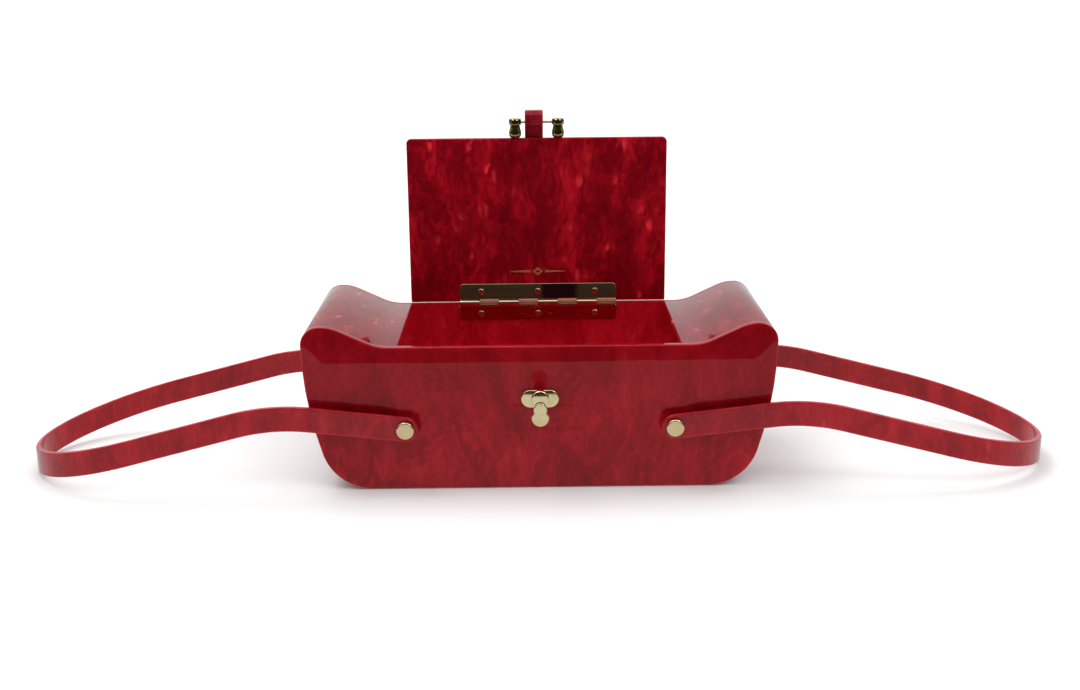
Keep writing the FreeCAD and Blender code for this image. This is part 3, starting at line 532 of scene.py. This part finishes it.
# ---------------------------------------------------------------------------------------------------
# Lid
# ---------------------------------------------------------------------------------------------------
lid_low, lid_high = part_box("lid_panel")
LID_CORNER = 3 * MM
LID_BEVEL = 3 * MM
LID_EASE = 0.7 * MM
lid_side = walk((lid_high.x, lid_low.z), 90, [lid_high.z - lid_low.z - LID_CORNER, (LID_CORNER, 90)])
lid_loop = lid_side + [(-u, v) for u, v in reversed(lid_side)]
lid = sheet("lid_look", lid_loop, lid_low.y, lid_high.y, XZ, LID_EASE)
bm = bmesh.new()
bm.from_mesh(lid.data)
cut = bmesh.ops.bisect_plane(bm, geom=bm.verts[:] + bm.edges[:] + bm.faces[:], clear_inner=True,
                             plane_co=(0, lid_low.y, lid_low.z + LID_BEVEL), plane_no=(0, 1, 1))
bmesh.ops.edgeloop_fill(bm, edges=[item for item in cut["geom_cut"] if isinstance(item, bmesh.types.BMEdge)])
bm.to_mesh(lid.data)
bm.free()
lid.data.set_sharp_from_angle(angle=SHARP)
keep(lid, "lid_panel", "lid", lid_red)

# A small foil ornament on the lid's inner face: a lozenge between two tapering rules.
ORNAMENT_Z = lid_low.z + 20 * MM
FOIL, FOIL_EASE = 0.06 * MM, 0.02 * MM
RULE_NEAR, RULE_NEAR_HALF = 4.5 * MM, 0.75 * MM
RULE_FAR, RULE_FAR_HALF = 17 * MM, 0.25 * MM
LOZENGE, CORE = (3.4 * MM, 2.6 * MM), (1.3 * MM, 1.0 * MM)


def foil(name, loop, holes=()):
    return sheet(name, loop, lid_low.y - FOIL, lid_low.y + FOIL, XZ, FOIL_EASE, holes=holes)


def lozenge(half_width, half_height, turn):
    """Four corners about the ornament's centre, anticlockwise for a turn of 1."""
    angles = [turn * math.pi / 2 * i for i in range(4)]
    return [(half_width * math.cos(a), ORNAMENT_Z + half_height * math.sin(a)) for a in angles]


foil_parts = []
for side in (-1, 1):
    rule = [(side * RULE_NEAR, RULE_NEAR_HALF), (side * RULE_FAR, RULE_FAR_HALF),
            (side * RULE_FAR, -RULE_FAR_HALF), (side * RULE_NEAR, -RULE_NEAR_HALF)]
    if side > 0:
        rule.reverse()
    foil_parts.append(foil("rule", [(u, ORNAMENT_Z + v) for u, v in rule]))
foil_parts.append(foil("lozenge", lozenge(*LOZENGE, 1), [lozenge(*CORE, -1)]))
ornament = join(foil_parts, "lid_ornament")
ornament.data.materials.append(foil_gold)
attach(ornament, "lid")

# ---------------------------------------------------------------------------------------------------
# Hinge
# ---------------------------------------------------------------------------------------------------
KNUCKLES = 8
BARREL, PIN_R, PIN_PLAY, PIN_CORNER = 2 * MM, 1 * MM, 0.01 * MM, 0.4 * MM
PITCH = 2 * LEAF_HALF / KNUCKLES
KNUCKLE_GAP, KNUCKLE_EASE = 0.1 * MM, 0.2 * MM
LEAF_START, TAB_START = BARREL + 0.2 * MM, 0.6 * MM     # from the pin's middle
LEAF_CORNER, LEAF_WALL, LEAF_EASE = 2.5 * MM, 1 * MM, 0.22 * MM
SCREW_X, SCREW_R = 36 * MM, 1 * MM
SCREW_FOOT = 0.25                                       # straight share of a screw head's rise
CROSS_HALF, CROSS_SHARE, CROSS_DEPTH = 0.22 * MM, 0.62, 0.3
CROSS_TILTS = (35, -20, 62)


def roll_section(direction):
    """The rolled end of a leaf about the pin: flat in front where it runs out of the leaf, then round. The
    body leaf's roll closes at the top, the lid leaf's swells low down."""
    if direction < 0:
        shape = [(-1.0, -1.70), (-1.55, -1.25), (-1.60, 0.35), (-1.30, 0.95), (-0.75, 1.35), (0.0, 1.55)]
    else:
        shape = [(-0.9, -1.75), (-1.45, -1.35), (-1.70, -1.05), (-1.68, -0.85), (-1.12, 0.25), (-1.08, 0.6),
                 (-1.08, 1.5), (-0.9, 1.75)]
    turns = [math.radians(a) for a in range(80, -91, -10)]
    outline = [(PIN_Y + y * MM, PIN_Z + z * MM) for y, z in shape]
    outline += [(PIN_Y + BARREL * math.cos(a), PIN_Z + BARREL * math.sin(a)) for a in turns]
    return outline[::-1]


def hinge_leaf(node, body, direction, first, leaf_material):
    low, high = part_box(node)
    reach = max(abs(low.z - PIN_Z), abs(high.z - PIN_Z))
    screws_low, screws_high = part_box(node.replace("leaf", "screws"))
    screw_z = (screws_low.z + screws_high.z) / 2
    lefts = [-LEAF_HALF + i * PITCH + KNUCKLE_GAP for i in range(first, KNUCKLES, 2)]
    width = PITCH - 2 * KNUCKLE_GAP
    comb = [(-LEAF_HALF, LEAF_START)]
    for left in lefts:
        comb += [(left, LEAF_START), (left, TAB_START), (left + width, TAB_START), (left + width, LEAF_START)]
    comb.append((LEAF_HALF, LEAF_START))
    rise = reach - LEAF_START - LEAF_CORNER
    edge = walk((LEAF_HALF, LEAF_START), 90, [rise, (LEAF_CORNER, 90), 2 * (LEAF_HALF - LEAF_CORNER),
                                              (LEAF_CORNER, 90), rise])
    loop = comb + edge[1:-1]
    holes = [circle(i * SCREW_X, abs(screw_z - PIN_Z), SCREW_R, 24, clockwise=True) for i in (-1, 0, 1)]
    if direction < 0:
        loop = [(u, -v) for u, v in reversed(loop)]
        holes = [[(u, -v) for u, v in reversed(hole)] for hole in holes]
    loop = [(u, PIN_Z + v) for u, v in loop]
    holes = [[(u, PIN_Z + v) for u, v in hole] for hole in holes]
    plate = sheet("plate", loop, PIN_Y - LEAF_WALL / 2, PIN_Y + LEAF_WALL / 2, XZ, LEAF_EASE, holes=holes)
    bore = circle(PIN_Y, PIN_Z, PIN_R + PIN_PLAY, 32, clockwise=True)
    knuckles = [sheet("knuckle", roll_section(direction), left, left + width, YZ, KNUCKLE_EASE, holes=[bore])
                for left in lefts]
    keep(join([plate] + knuckles, node + "_look"), node, body, leaf_material)


hinge_leaf("hinge_leaf_body", "box", -1, 0, leaf_gold)
hinge_leaf("hinge_leaf_lid", "lid", 1, 1, lid_leaf_gold)

half = pin_high.x
pin_profile = round_corners([(0, -half), (PIN_R, -half), (PIN_R, half), (0, half)], PIN_CORNER, closed=False)
keep(lathe("hinge_pin_look", [(pin_profile, (0, PIN_Y, PIN_Z), (1, 0, 0))]), "hinge_pin", "box",
     pin_gold)

for node, body in (("hinge_screws_body", "box"), ("hinge_screws_lid", "lid")):
    low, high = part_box(node)
    seat, level = PIN_Y - LEAF_WALL / 2, (low.z + high.z) / 2
    rise, head = seat - low.y, (high.z - low.z) / 2
    tail = high.y - seat
    profile = [(0, -tail), (SCREW_R, -tail), (SCREW_R, 0), (head, 0)] + dome(head, rise, SCREW_FOOT)
    places = [Vector((i * SCREW_X, seat, level)) for i in (-1, 0, 1)]
    screws = lathe(node + "_look", [(profile, place, (0, -1, 0)) for place in places], count=48)
    for place, tilt in zip(places, CROSS_TILTS):
        turn = math.radians(tilt)
        for quarter in (0, math.pi / 2):
            across = Vector((math.cos(turn + quarter), math.sin(turn + quarter)))
            side = Vector((-across.y, across.x)) * CROSS_HALF
            along = across * CROSS_SHARE * head
            here = Vector((place.x, place.z))
            loop = [tuple(here + along * s + side * t) for s, t in ((-1, -1), (1, -1), (1, 1), (-1, 1))]
            floor_y = seat - CROSS_DEPTH * rise
            subtract(screws, sheet("cutter", loop, seat - 2 * rise, floor_y, XZ, CUTTER_EASE))
    keep(screws, node, body, pin_gold)

# ---------------------------------------------------------------------------------------------------
# Posts, rod and tongue
# ---------------------------------------------------------------------------------------------------
POST = [(0, -6), (1, -6), (1, 0), (2.1, 0), (2.9, 0.35), (3.45, 1.0), (3.75, 1.9), (3.85, 2.9), (3.75, 3.9),
        (3.5, 5.0), (3.2, 6.2), (2.98, 7.2), (2.96, 7.7), (3.2, 8.0), (3.65, 8.2), (3.82, 8.55), (3.85, 9.0),
        (3.85, 10.7), (3.75, 11.2), (3.4, 11.55), (2.9, 11.7), (1.6, 11.7), (1.4, 11.45), (0, 11.45)]
NOTCHES = 8
NOTCH_HALF, NOTCH_NEAR, NOTCH_FAR = 0.6, 2.9, 4.4       # millimetres, like the profile
NOTCH_FOOT, NOTCH_TOP = 10.2, 12.2
post_profile = [(radius * MM, height * MM) for radius, height in POST]
for node in ("clasp_post_left", "clasp_post_right"):
    low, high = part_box(node)
    foot = Vector(((low.x + high.x) / 2, (low.y + high.y) / 2, lid_high.z))
    post = lathe(node + "_look", [(post_profile, foot, (0, 0, 1))], count=96)
    for i in range(NOTCHES):
        turn = math.tau * i / NOTCHES
        across = Vector((math.cos(turn), math.sin(turn)))
        side = Vector((-across.y, across.x)) * NOTCH_HALF * MM
        near, far = across * NOTCH_NEAR * MM, across * NOTCH_FAR * MM
        centre = Vector((foot.x, foot.y))
        loop = [tuple(centre + point) for point in (near - side, far - side, far + side, near + side)]
        foot_z, top_z = foot.z + NOTCH_FOOT * MM, foot.z + NOTCH_TOP * MM
        subtract(post, sheet("notch", loop, foot_z, top_z, XY, CUTTER_EASE))
    keep(post, node, "lid", post_gold)

rod_low, rod_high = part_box("clasp_rod")
ROD_Y, ROD_Z = (rod_low.y + rod_high.y) / 2, (rod_low.z + rod_high.z) / 2
ROD_CORNER = 0.3 * MM
rod_radius, rod_half = (rod_high.z - rod_low.z) / 2, rod_high.x
rod_profile = round_corners([(0, -rod_half), (rod_radius, -rod_half), (rod_radius, rod_half), (0, rod_half)],
                            ROD_CORNER, closed=False)
keep(lathe("clasp_rod_look", [(rod_profile, (0, ROD_Y, ROD_Z), (1, 0, 0))], count=32), "clasp_rod", "lid",
     pin_gold)

tongue_low, tongue_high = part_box("clasp_tongue")
TONGUE_X = (tongue_low.x + tongue_high.x) / 2
LEG_HALF, LEG_WALL = 5.6 * MM, 3.8 * MM
PADDLE_HALF = tongue_high.x - TONGUE_X
LEG_FAR = tongue_high.y - ROD_Y
LEG_NEAR = LEG_FAR - LEG_WALL
BLOCK_FRONT = tongue_low.y - ROD_Y
BLOCK_TOP = tongue_high.z - ROD_Z
BLOCK_FOOT = -1.5 * MM
BEVEL, FRONT_BEVEL, BLOCK_EASE, PADDLE_EASE = 2.6 * MM, 2 * MM, 0.9 * MM, 0.7 * MM
HOOK_CORNER = 1.1 * MM
PADDLE_START, PADDLE_END = -14 * MM, tongue_low.z - ROD_Z
SLOT_TOP, SLOT_FOOT, SLOT_R = -21 * MM, -45.6 * MM, 6.8 * MM
SKIN = 0.04 * MM                    # the block's leg lies this far inside the paddle's faces
LEG_FOOT = SLOT_TOP + 1.5 * MM
hook = [(LEG_NEAR + SKIN, LEG_FOOT), (LEG_FAR - SKIN, LEG_FOOT), (LEG_FAR - SKIN, BLOCK_TOP - BEVEL),
        (LEG_FAR - BEVEL, BLOCK_TOP), (BLOCK_FRONT + FRONT_BEVEL, BLOCK_TOP),
        (BLOCK_FRONT, BLOCK_TOP - BEVEL), (BLOCK_FRONT, BLOCK_FOOT), (LEG_NEAR + SKIN, BLOCK_FOOT)]
hook = round_corners([(ROD_Y + u, ROD_Z + v) for u, v in hook], HOOK_CORNER)
block = sheet("block", hook, TONGUE_X - LEG_HALF, TONGUE_X + LEG_HALF, YZ, BLOCK_EASE)
flared = PADDLE_START - (PADDLE_HALF - LEG_HALF)
tip = walk((PADDLE_HALF, flared), -90, [flared - PADDLE_END - PADDLE_HALF, (PADDLE_HALF, -180)])
paddle_loop = [(LEG_HALF, PADDLE_START)] + tip + [(-PADDLE_HALF, flared), (-LEG_HALF, PADDLE_START)]
paddle_loop = [(TONGUE_X + u, ROD_Z + v) for u, v in reversed(paddle_loop)]
slot = slot_loop(TONGUE_X, ROD_Z + SLOT_FOOT + SLOT_R, TONGUE_X, ROD_Z + SLOT_TOP - SLOT_R, SLOT_R,
                 clockwise=True)
paddle = sheet("paddle", paddle_loop, ROD_Y + LEG_NEAR, ROD_Y + LEG_FAR, XZ, PADDLE_EASE, holes=[slot])
keep(join([block, paddle], "clasp_tongue_look"), "clasp_tongue", "tongue", tongue_red)

# ---------------------------------------------------------------------------------------------------
# Turning catch
# ---------------------------------------------------------------------------------------------------
FACE = front_low.y
PLATE_WALL, PLATE_EASE, PLATE_SEAT_EASE = 1.8 * MM, 0.55 * MM, 0.1 * MM
COLLAR_R, COLLAR_RISE, COLLAR_FOOT, BORE = 4.9 * MM, FACE - catch_low.y, 0.2 * MM, 2.05 * MM
METAL_CORNER = 0.5 * MM
plate_r = (catch_high.z - catch_low.z) / 2
plate_reach = catch_high.x - plate_r
plate_loop = slot_loop(-plate_reach, CATCH_Z, plate_reach, CATCH_Z, plate_r)
plate = sheet("plate", plate_loop, FACE - PLATE_WALL, FACE, XZ, PLATE_EASE, PLATE_SEAT_EASE)
neck_end = catch_high.y - FACE
collar = [(BORE, -COLLAR_RISE), (COLLAR_R, -COLLAR_RISE), (COLLAR_R, -COLLAR_FOOT), (NECK, -COLLAR_FOOT),
          (NECK, neck_end), (BORE, neck_end)]
collar = round_corners(collar, METAL_CORNER)
keep(join([plate, lathe("collar", [(collar, (0, FACE, CATCH_Z), (0, 1, 0))], closed=True)],
          "catch_plate_look"), "catch_plate", "box", catch_gold)

nut_low, nut_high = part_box("catch_nut")
nut_corner = (nut_high.x - nut_low.x) / 2
NUT_CORNER_EASE, NUT_EASE = 0.4 * MM, 0.3 * MM
hexagon = [(nut_corner * math.cos(math.tau * i / 6), CATCH_Z + nut_corner * math.sin(math.tau * i / 6))
           for i in range(6)]
keep(sheet("catch_nut_look", round_corners(hexagon, NUT_CORNER_EASE), nut_low.y, nut_high.y, XZ, NUT_EASE,
           holes=[circle(0, CATCH_Z, NECK, clockwise=True)]), "catch_nut", "box", pin_gold)

knob_low, knob_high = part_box("turn_knob")
LOBE_R = knob_high.x
LOBE_SPREAD = knob_high.z - CATCH_Z - LOBE_R
WAIST = 2.9 * MM
LOBE_STEPS = 32
BOSS_R, BOSS_RISE, BOSS_SINK = 3.75 * MM, 1.5 * MM, 1 * MM
HEAD_WALL, HEAD_EASE = 4 * MM, 0.6 * MM
SHAFT_R, SPINDLE_R, SHAFT_PLAY = 3.4 * MM, 2 * MM, 0.15 * MM
lobes = []
joint = math.asin(WAIST / LOBE_R)
first, last = -math.pi / 2 + joint, 1.5 * math.pi - joint
for sign in (1, -1):
    for i in range(LOBE_STEPS + 1):
        at = first + (last - first) * i / LOBE_STEPS
        lobes.append((sign * LOBE_R * math.cos(at), CATCH_Z + sign * (LOBE_SPREAD + LOBE_R * math.sin(at))))
head_front = knob_low.y + BOSS_RISE
head = sheet("head", lobes, head_front, head_front + HEAD_WALL, XZ, HEAD_EASE)
front = FACE - knob_low.y
tail = knob_high.y - FACE
shaft_foot = COLLAR_RISE + SHAFT_PLAY
boss_foot = front - BOSS_RISE - BOSS_SINK
turned = [(0, front), (BOSS_R, front), (BOSS_R, boss_foot), (SHAFT_R, boss_foot), (SHAFT_R, shaft_foot),
          (SPINDLE_R, shaft_foot), (SPINDLE_R, -tail), (0, -tail)]
turned = round_corners(turned, METAL_CORNER, closed=False)
keep(join([head, lathe("shaft", [(turned, (0, FACE, CATCH_Z), (0, -1, 0))])], "turn_knob_look"),
     "turn_knob", "knob", catch_gold)

clip_low, clip_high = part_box("knob_clip")
clip_wall = clip_high.y - clip_low.y
CLIP_BORE, CLIP_CORNER = 1.6 * MM, 0.15 * MM
clip_ring = round_corners([(CLIP_BORE, 0), (clip_high.x, 0), (clip_high.x, clip_wall),
                           (CLIP_BORE, clip_wall)], CLIP_CORNER)
keep(lathe("knob_clip_look", [(clip_ring, (0, clip_low.y, CATCH_Z), (0, 1, 0))], closed=True, count=48),
     "knob_clip", "knob", pin_gold)

# ---------------------------------------------------------------------------------------------------
# Studs, spacers and caps
# ---------------------------------------------------------------------------------------------------
SPACER_R, SPACER_WALL = 4.5 * MM, 4.5 * MM
SPACER_CORNER = 0.3 * MM
CAP_R, CAP_WALL, CAP_FOOT = 4.2 * MM, 2.6 * MM, 0.45
HEAD_THICK, STUD_EASE, STUD_EASE_STEPS = 2.5 * MM, 0.8 * MM, 5
spacers, caps = [], []
for name, outward, side in (("front_left", -1, -1), ("front_right", -1, 1), ("back_left", 1, -1),
                            ("back_right", 1, 1)):
    low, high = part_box("stud_" + name)
    face = outward * abs(FACE)
    head_r = (high.z - low.z) / 2
    outer = abs(low.y if outward < 0 else high.y) - abs(FACE)
    tail = abs(FACE) - abs(high.y if outward < 0 else low.y)
    turns = [math.pi / 2 * k / STUD_EASE_STEPS for k in range(STUD_EASE_STEPS + 1)]
    profile = [(0, -tail), (SHANK, -tail), (SHANK, outer - HEAD_THICK), (head_r, outer - HEAD_THICK)]
    profile += [(head_r - STUD_EASE * (1 - math.cos(a)), outer - STUD_EASE * (1 - math.sin(a)))
                for a in turns]
    profile.append((0, outer))
    site = Vector((side * STUD_X, face, STUD_Z))
    keep(lathe(f"stud_{name}_look", [(profile, site, (0, outward, 0))], count=96), "stud_" + name, "box",
         pale_gold)
    ring = round_corners([(SHANK, 0), (SPACER_R, 0), (SPACER_R, SPACER_WALL), (SHANK, SPACER_WALL)],
                         SPACER_CORNER)
    spacers.append((ring, site, (0, outward, 0)))
    inside = site - Vector((0, outward * (front_high.y - front_low.y), 0))
    caps.append((inside, -outward))
keep(lathe("handle_spacers_look", spacers, closed=True), "handle_spacers", "box", pale_gold)

cap_profile = [(0, 0), (CAP_R, 0)] + dome(CAP_R, CAP_WALL, CAP_FOOT)
keep(lathe("stud_caps_look", [(cap_profile, place, (0, axis, 0)) for place, axis in caps]), "stud_caps",
     "box", pale_gold)

# ---------------------------------------------------------------------------------------------------
# Handles: a strip in side view, bent round in plan
# ---------------------------------------------------------------------------------------------------
STRIP_HALF, STRIP_WALL, STRIP_EASE = 7.25 * MM, 3 * MM, 0.8 * MM
ARM_SLOPE, ARM_RUN = math.radians(6.40), 55 * MM
ARM_RADIUS, ARM_TURN = 118 * MM, math.radians(20.9)
LOOP_START, LOOP_DEPTH = 158 * MM, 71 * MM
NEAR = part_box("handle_right")[1].y - STRIP_WALL
EDGE_ROW = 0.3 * MM                 # a row of points this close to each edge keeps the faces' shading flat
LEAN_SHARE = 0.7                    # rings turn from square to the arm to upright over this share of it
NOSE_STEPS, ARM_STEPS, BEND_STEPS = 10, 56, 96


def strip_height(x, v):
    """Height, above the stud and at x from it, of the line that runs v above the strip's middle."""
    x1 = ARM_RUN * math.cos(ARM_SLOPE) - v * math.sin(ARM_SLOPE)
    z1 = ARM_RUN * math.sin(ARM_SLOPE) + v * math.cos(ARM_SLOPE)
    if x <= x1:
        return z1 + (x - x1) * math.tan(ARM_SLOPE)
    cx = ARM_RUN * math.cos(ARM_SLOPE) + ARM_RADIUS * math.sin(ARM_SLOPE)
    cz = ARM_RUN * math.sin(ARM_SLOPE) - ARM_RADIUS * math.cos(ARM_SLOPE)
    radius, final = ARM_RADIUS + v, ARM_SLOPE - ARM_TURN
    x2 = cx - radius * math.sin(final)
    if x <= x2:
        return cz + math.sqrt(radius ** 2 - (x - cx) ** 2)
    return cz + radius * math.cos(final) + (x - x2) * math.tan(final)


def strip_section():
    """Points (across, up) round the strip's section, from the outer face's foot."""
    flat = STRIP_HALF - STRIP_EASE
    rows = [-flat, -flat + EDGE_ROW, -flat / 2, 0, flat / 2, flat - EDGE_ROW, flat]
    arcs = [math.pi / 2 * k / ROUND_STEPS for k in range(1, ROUND_STEPS)]
    loop = [(STRIP_WALL, v) for v in rows]
    loop += [(STRIP_WALL - STRIP_EASE * (1 - math.cos(a)), flat + STRIP_EASE * math.sin(a)) for a in arcs]
    loop += [(STRIP_WALL - STRIP_EASE, STRIP_HALF), (STRIP_EASE, STRIP_HALF)]
    loop += [(STRIP_EASE * (1 - math.sin(a)), flat + STRIP_EASE * math.cos(a)) for a in arcs]
    loop += [(0, v) for v in reversed(rows)]
    loop += [(STRIP_EASE * (1 - math.cos(a)), -flat - STRIP_EASE * math.sin(a)) for a in arcs]
    loop += [(STRIP_EASE, -STRIP_HALF), (STRIP_WALL - STRIP_EASE, -STRIP_HALF)]
    loop += [(STRIP_WALL - STRIP_EASE * (1 - math.sin(a)), -flat - STRIP_EASE * math.cos(a)) for a in arcs]
    return loop


def handle(name, side):
    section = strip_section()
    rings = []

    def nose(arm, turn):
        ring = []
        for across, up in section:
            along, rise = -abs(up) * math.cos(turn), up * math.sin(turn)
            x = along * math.cos(ARM_SLOPE) - rise * math.sin(ARM_SLOPE)
            z = along * math.sin(ARM_SLOPE) + rise * math.cos(ARM_SLOPE)
            ring.append((x, arm * (NEAR + across), z))
        return ring

    def straight(arm, x):
        lean = max(0.0, 1 - x / (LEAN_SHARE * ARM_RUN))
        ring = []
        for across, up in section:
            at = x * math.cos(ARM_SLOPE) - lean * up * math.sin(ARM_SLOPE)
            ring.append((at, arm * (NEAR + across), strip_height(at, up)))
        return ring

    def bend(turn):
        ring = []
        for across, up in section:
            x = LOOP_START + (LOOP_DEPTH - STRIP_WALL + across) * math.cos(turn)
            ring.append((x, (NEAR + across) * math.sin(turn), strip_height(x, up)))
        return ring

    reach = LOOP_START / math.cos(ARM_SLOPE)
    for arm in (-1, 1):
        half = [nose(arm, math.pi / 2 * k / NOSE_STEPS) for k in range(NOSE_STEPS)]
        half += [straight(arm, reach * k / ARM_STEPS) for k in range(ARM_STEPS)]
        if arm < 0:
            rings += half
            rings += [bend(math.pi * (k / BEND_STEPS - 0.5)) for k in range(BEND_STEPS + 1)]
        else:
            rings += half[::-1]
    bm = bmesh.new()
    verts = [[bm.verts.new((side * (STUD_X + x), y, STUD_Z + z)) for x, y, z in ring] for ring in rings]
    count = len(section)
    for a, b in zip(verts, verts[1:]):
        for i in range(count):
            k = (i + 1) % count
            bm.faces.new((a[i], a[k], b[k], b[i])).smooth = True
    bmesh.ops.remove_doubles(bm, verts=bm.verts, dist=WELD)
    bmesh.ops.dissolve_degenerate(bm, edges=bm.edges, dist=WELD)
    return to_object(name, bm)


for name, side in (("handle_left", -1), ("handle_right", 1)):
    keep(handle(name + "_look", side), name, name, strip_red)

# ---------------------------------------------------------------------------------------------------
# Camera, floor and light
# ---------------------------------------------------------------------------------------------------
CAMERA_PLACE = Vector((-0.00476, -0.8139, 0.2961))
CAMERA_PITCH, CAMERA_YAW, CAMERA_ROLL = math.radians(15.488), math.radians(-0.38), math.radians(-0.516)
CAMERA_LENS, CAMERA_FILM = 46.68, 36
ahead = Vector((-math.sin(CAMERA_YAW) * math.cos(CAMERA_PITCH), math.cos(CAMERA_YAW) * math.cos(CAMERA_PITCH),
                -math.sin(CAMERA_PITCH)))
right = Vector((math.cos(CAMERA_YAW), math.sin(CAMERA_YAW), 0))
up = right.cross(ahead)
rolled_right = right * math.cos(CAMERA_ROLL) + up * math.sin(CAMERA_ROLL)
rolled_up = up * math.cos(CAMERA_ROLL) - right * math.sin(CAMERA_ROLL)
camera_data = bpy.data.cameras.new("camera")
camera_data.lens = CAMERA_LENS
camera_data.sensor_width = CAMERA_FILM
camera_data.clip_start, camera_data.clip_end = 0.01, 100
camera = bpy.data.objects.new("camera", camera_data)
turn = Matrix((rolled_right, rolled_up, -ahead)).transposed()
camera.matrix_world = Matrix.Translation(CAMERA_PLACE) @ turn.to_4x4()
scene.collection.objects.link(camera)
scene.camera = camera


WHITE = colour(1, 1, 1)
FLOOR_HALF, FLOOR_Z = 14, -0.0002
FLOOR_LIFT_NEAR, FLOOR_LIFT_FAR = (0.35, 0.02), (1.3, 0.30)     # (distance, emission)
CARD_HALF, CARD_FRONT, CARD_BACK, CARD_Z = 1.6, -0.36, 3.0, -0.0004
CARD_GLOW = 0.70


def plain_plane(name, low_x, low_y, high_x, high_y, z, material):
    bm = bmesh.new()
    corners = ((low_x, low_y), (high_x, low_y), (high_x, high_y), (low_x, high_y))
    bm.faces.new([bm.verts.new((x, y, z)) for x, y in corners])
    mesh = bpy.data.meshes.new(name)
    bm.to_mesh(mesh)
    bm.free()
    mesh.materials.append(material)
    plane = bpy.data.objects.new(name, mesh)
    scene.collection.objects.link(plane)
    plane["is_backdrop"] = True
    return plane


floor_white = bpy.data.materials.new("floor_white")
floor_white.use_nodes = True
n = Nodes(floor_white.node_tree)
place = n.add("ShaderNodeTexCoord").outputs["Object"]
mottle = n.noise(place, 9.0, 3.0).outputs["Fac"]
tone = n.blend(mottle, colour(0.86, 0.86, 0.86), colour(0.88, 0.88, 0.88))
reach = n.add("ShaderNodeVectorMath", {0: place}, operation="LENGTH").outputs["Value"]
lift = n.spread(reach, FLOOR_LIFT_NEAR[0], FLOOR_LIFT_FAR[0], FLOOR_LIFT_NEAR[1], FLOOR_LIFT_FAR[1])
shader = n.add("ShaderNodeBsdfPrincipled", {
    "Base Color": tone, "Roughness": 0.9, "Specular IOR Level": 0.1, "Emission Color": WHITE,
    "Emission Strength": lift})
n.add("ShaderNodeOutputMaterial", {"Surface": shader.outputs[0]})
floor = plain_plane("floor", -FLOOR_HALF, -FLOOR_HALF, FLOOR_HALF, FLOOR_HALF, FLOOR_Z, floor_white)
floor.visible_glossy = False

# What the gloss sees underfoot: a white table that ends a hand's breadth in front of the bag.
card_white = bpy.data.materials.new("card_white")
card_white.use_nodes = True
n = Nodes(card_white.node_tree)
glow = n.add("ShaderNodeEmission", {"Color": WHITE, "Strength": CARD_GLOW})
n.add("ShaderNodeOutputMaterial", {"Surface": glow.outputs[0]})
card = plain_plane("table_card", -CARD_HALF, CARD_FRONT, CARD_HALF, CARD_BACK, CARD_Z, card_white)
card.visible_camera = False
card.visible_diffuse = False
card.visible_shadow = False
card.visible_transmission = False
card.visible_volume_scatter = False

# The room: bright above and behind the bag, darker in front and low down. The camera sees plain white.

world = bpy.data.worlds.new("studio")
world.use_nodes = True
scene.world = world
n = Nodes(world.node_tree)
direction = n.add("ShaderNodeTexCoord").outputs["Generated"]
toward = n.vector("DOT_PRODUCT", direction, (0.0, 0.50, 0.87)).outputs["Value"]
height = n.add("ShaderNodeSeparateXYZ", {0: direction}).outputs["Z"]
level = n.math("MULTIPLY", n.spread(toward, -0.15, 0.60, 0.05, 1.15),
               n.spread(height, 0.15, 0.75, 0.62, 1.12))
studio = n.add("ShaderNodeBackground", {"Color": WHITE, "Strength": level})
pale = n.add("ShaderNodeBackground", {"Color": WHITE, "Strength": 1.0})
seen = n.add("ShaderNodeLightPath").outputs["Is Camera Ray"]
backdrop = n.add("ShaderNodeMixShader", {0: seen, 1: studio.outputs[0], 2: pale.outputs[0]})
n.add("ShaderNodeOutputWorld", {"Surface": backdrop.outputs[0]})


def softbox(name, place, target, width, height, watts):
    data = bpy.data.lights.new(name, "AREA")
    data.shape = "RECTANGLE"
    data.size, data.size_y = width, height
    data.energy = watts
    light = bpy.data.objects.new(name, data)
    light.location = place
    light.rotation_euler = (Vector(target) - Vector(place)).to_track_quat("-Z", "Y").to_euler()
    scene.collection.objects.link(light)


softbox("key", (-0.5, 0.3, 1.5), (0, 0, 0.05), 1.1, 0.7, 9)
softbox("fill", (0.9, -0.9, 1.2), (0, 0, 0.08), 0.6, 0.4, 4)

low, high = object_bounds()
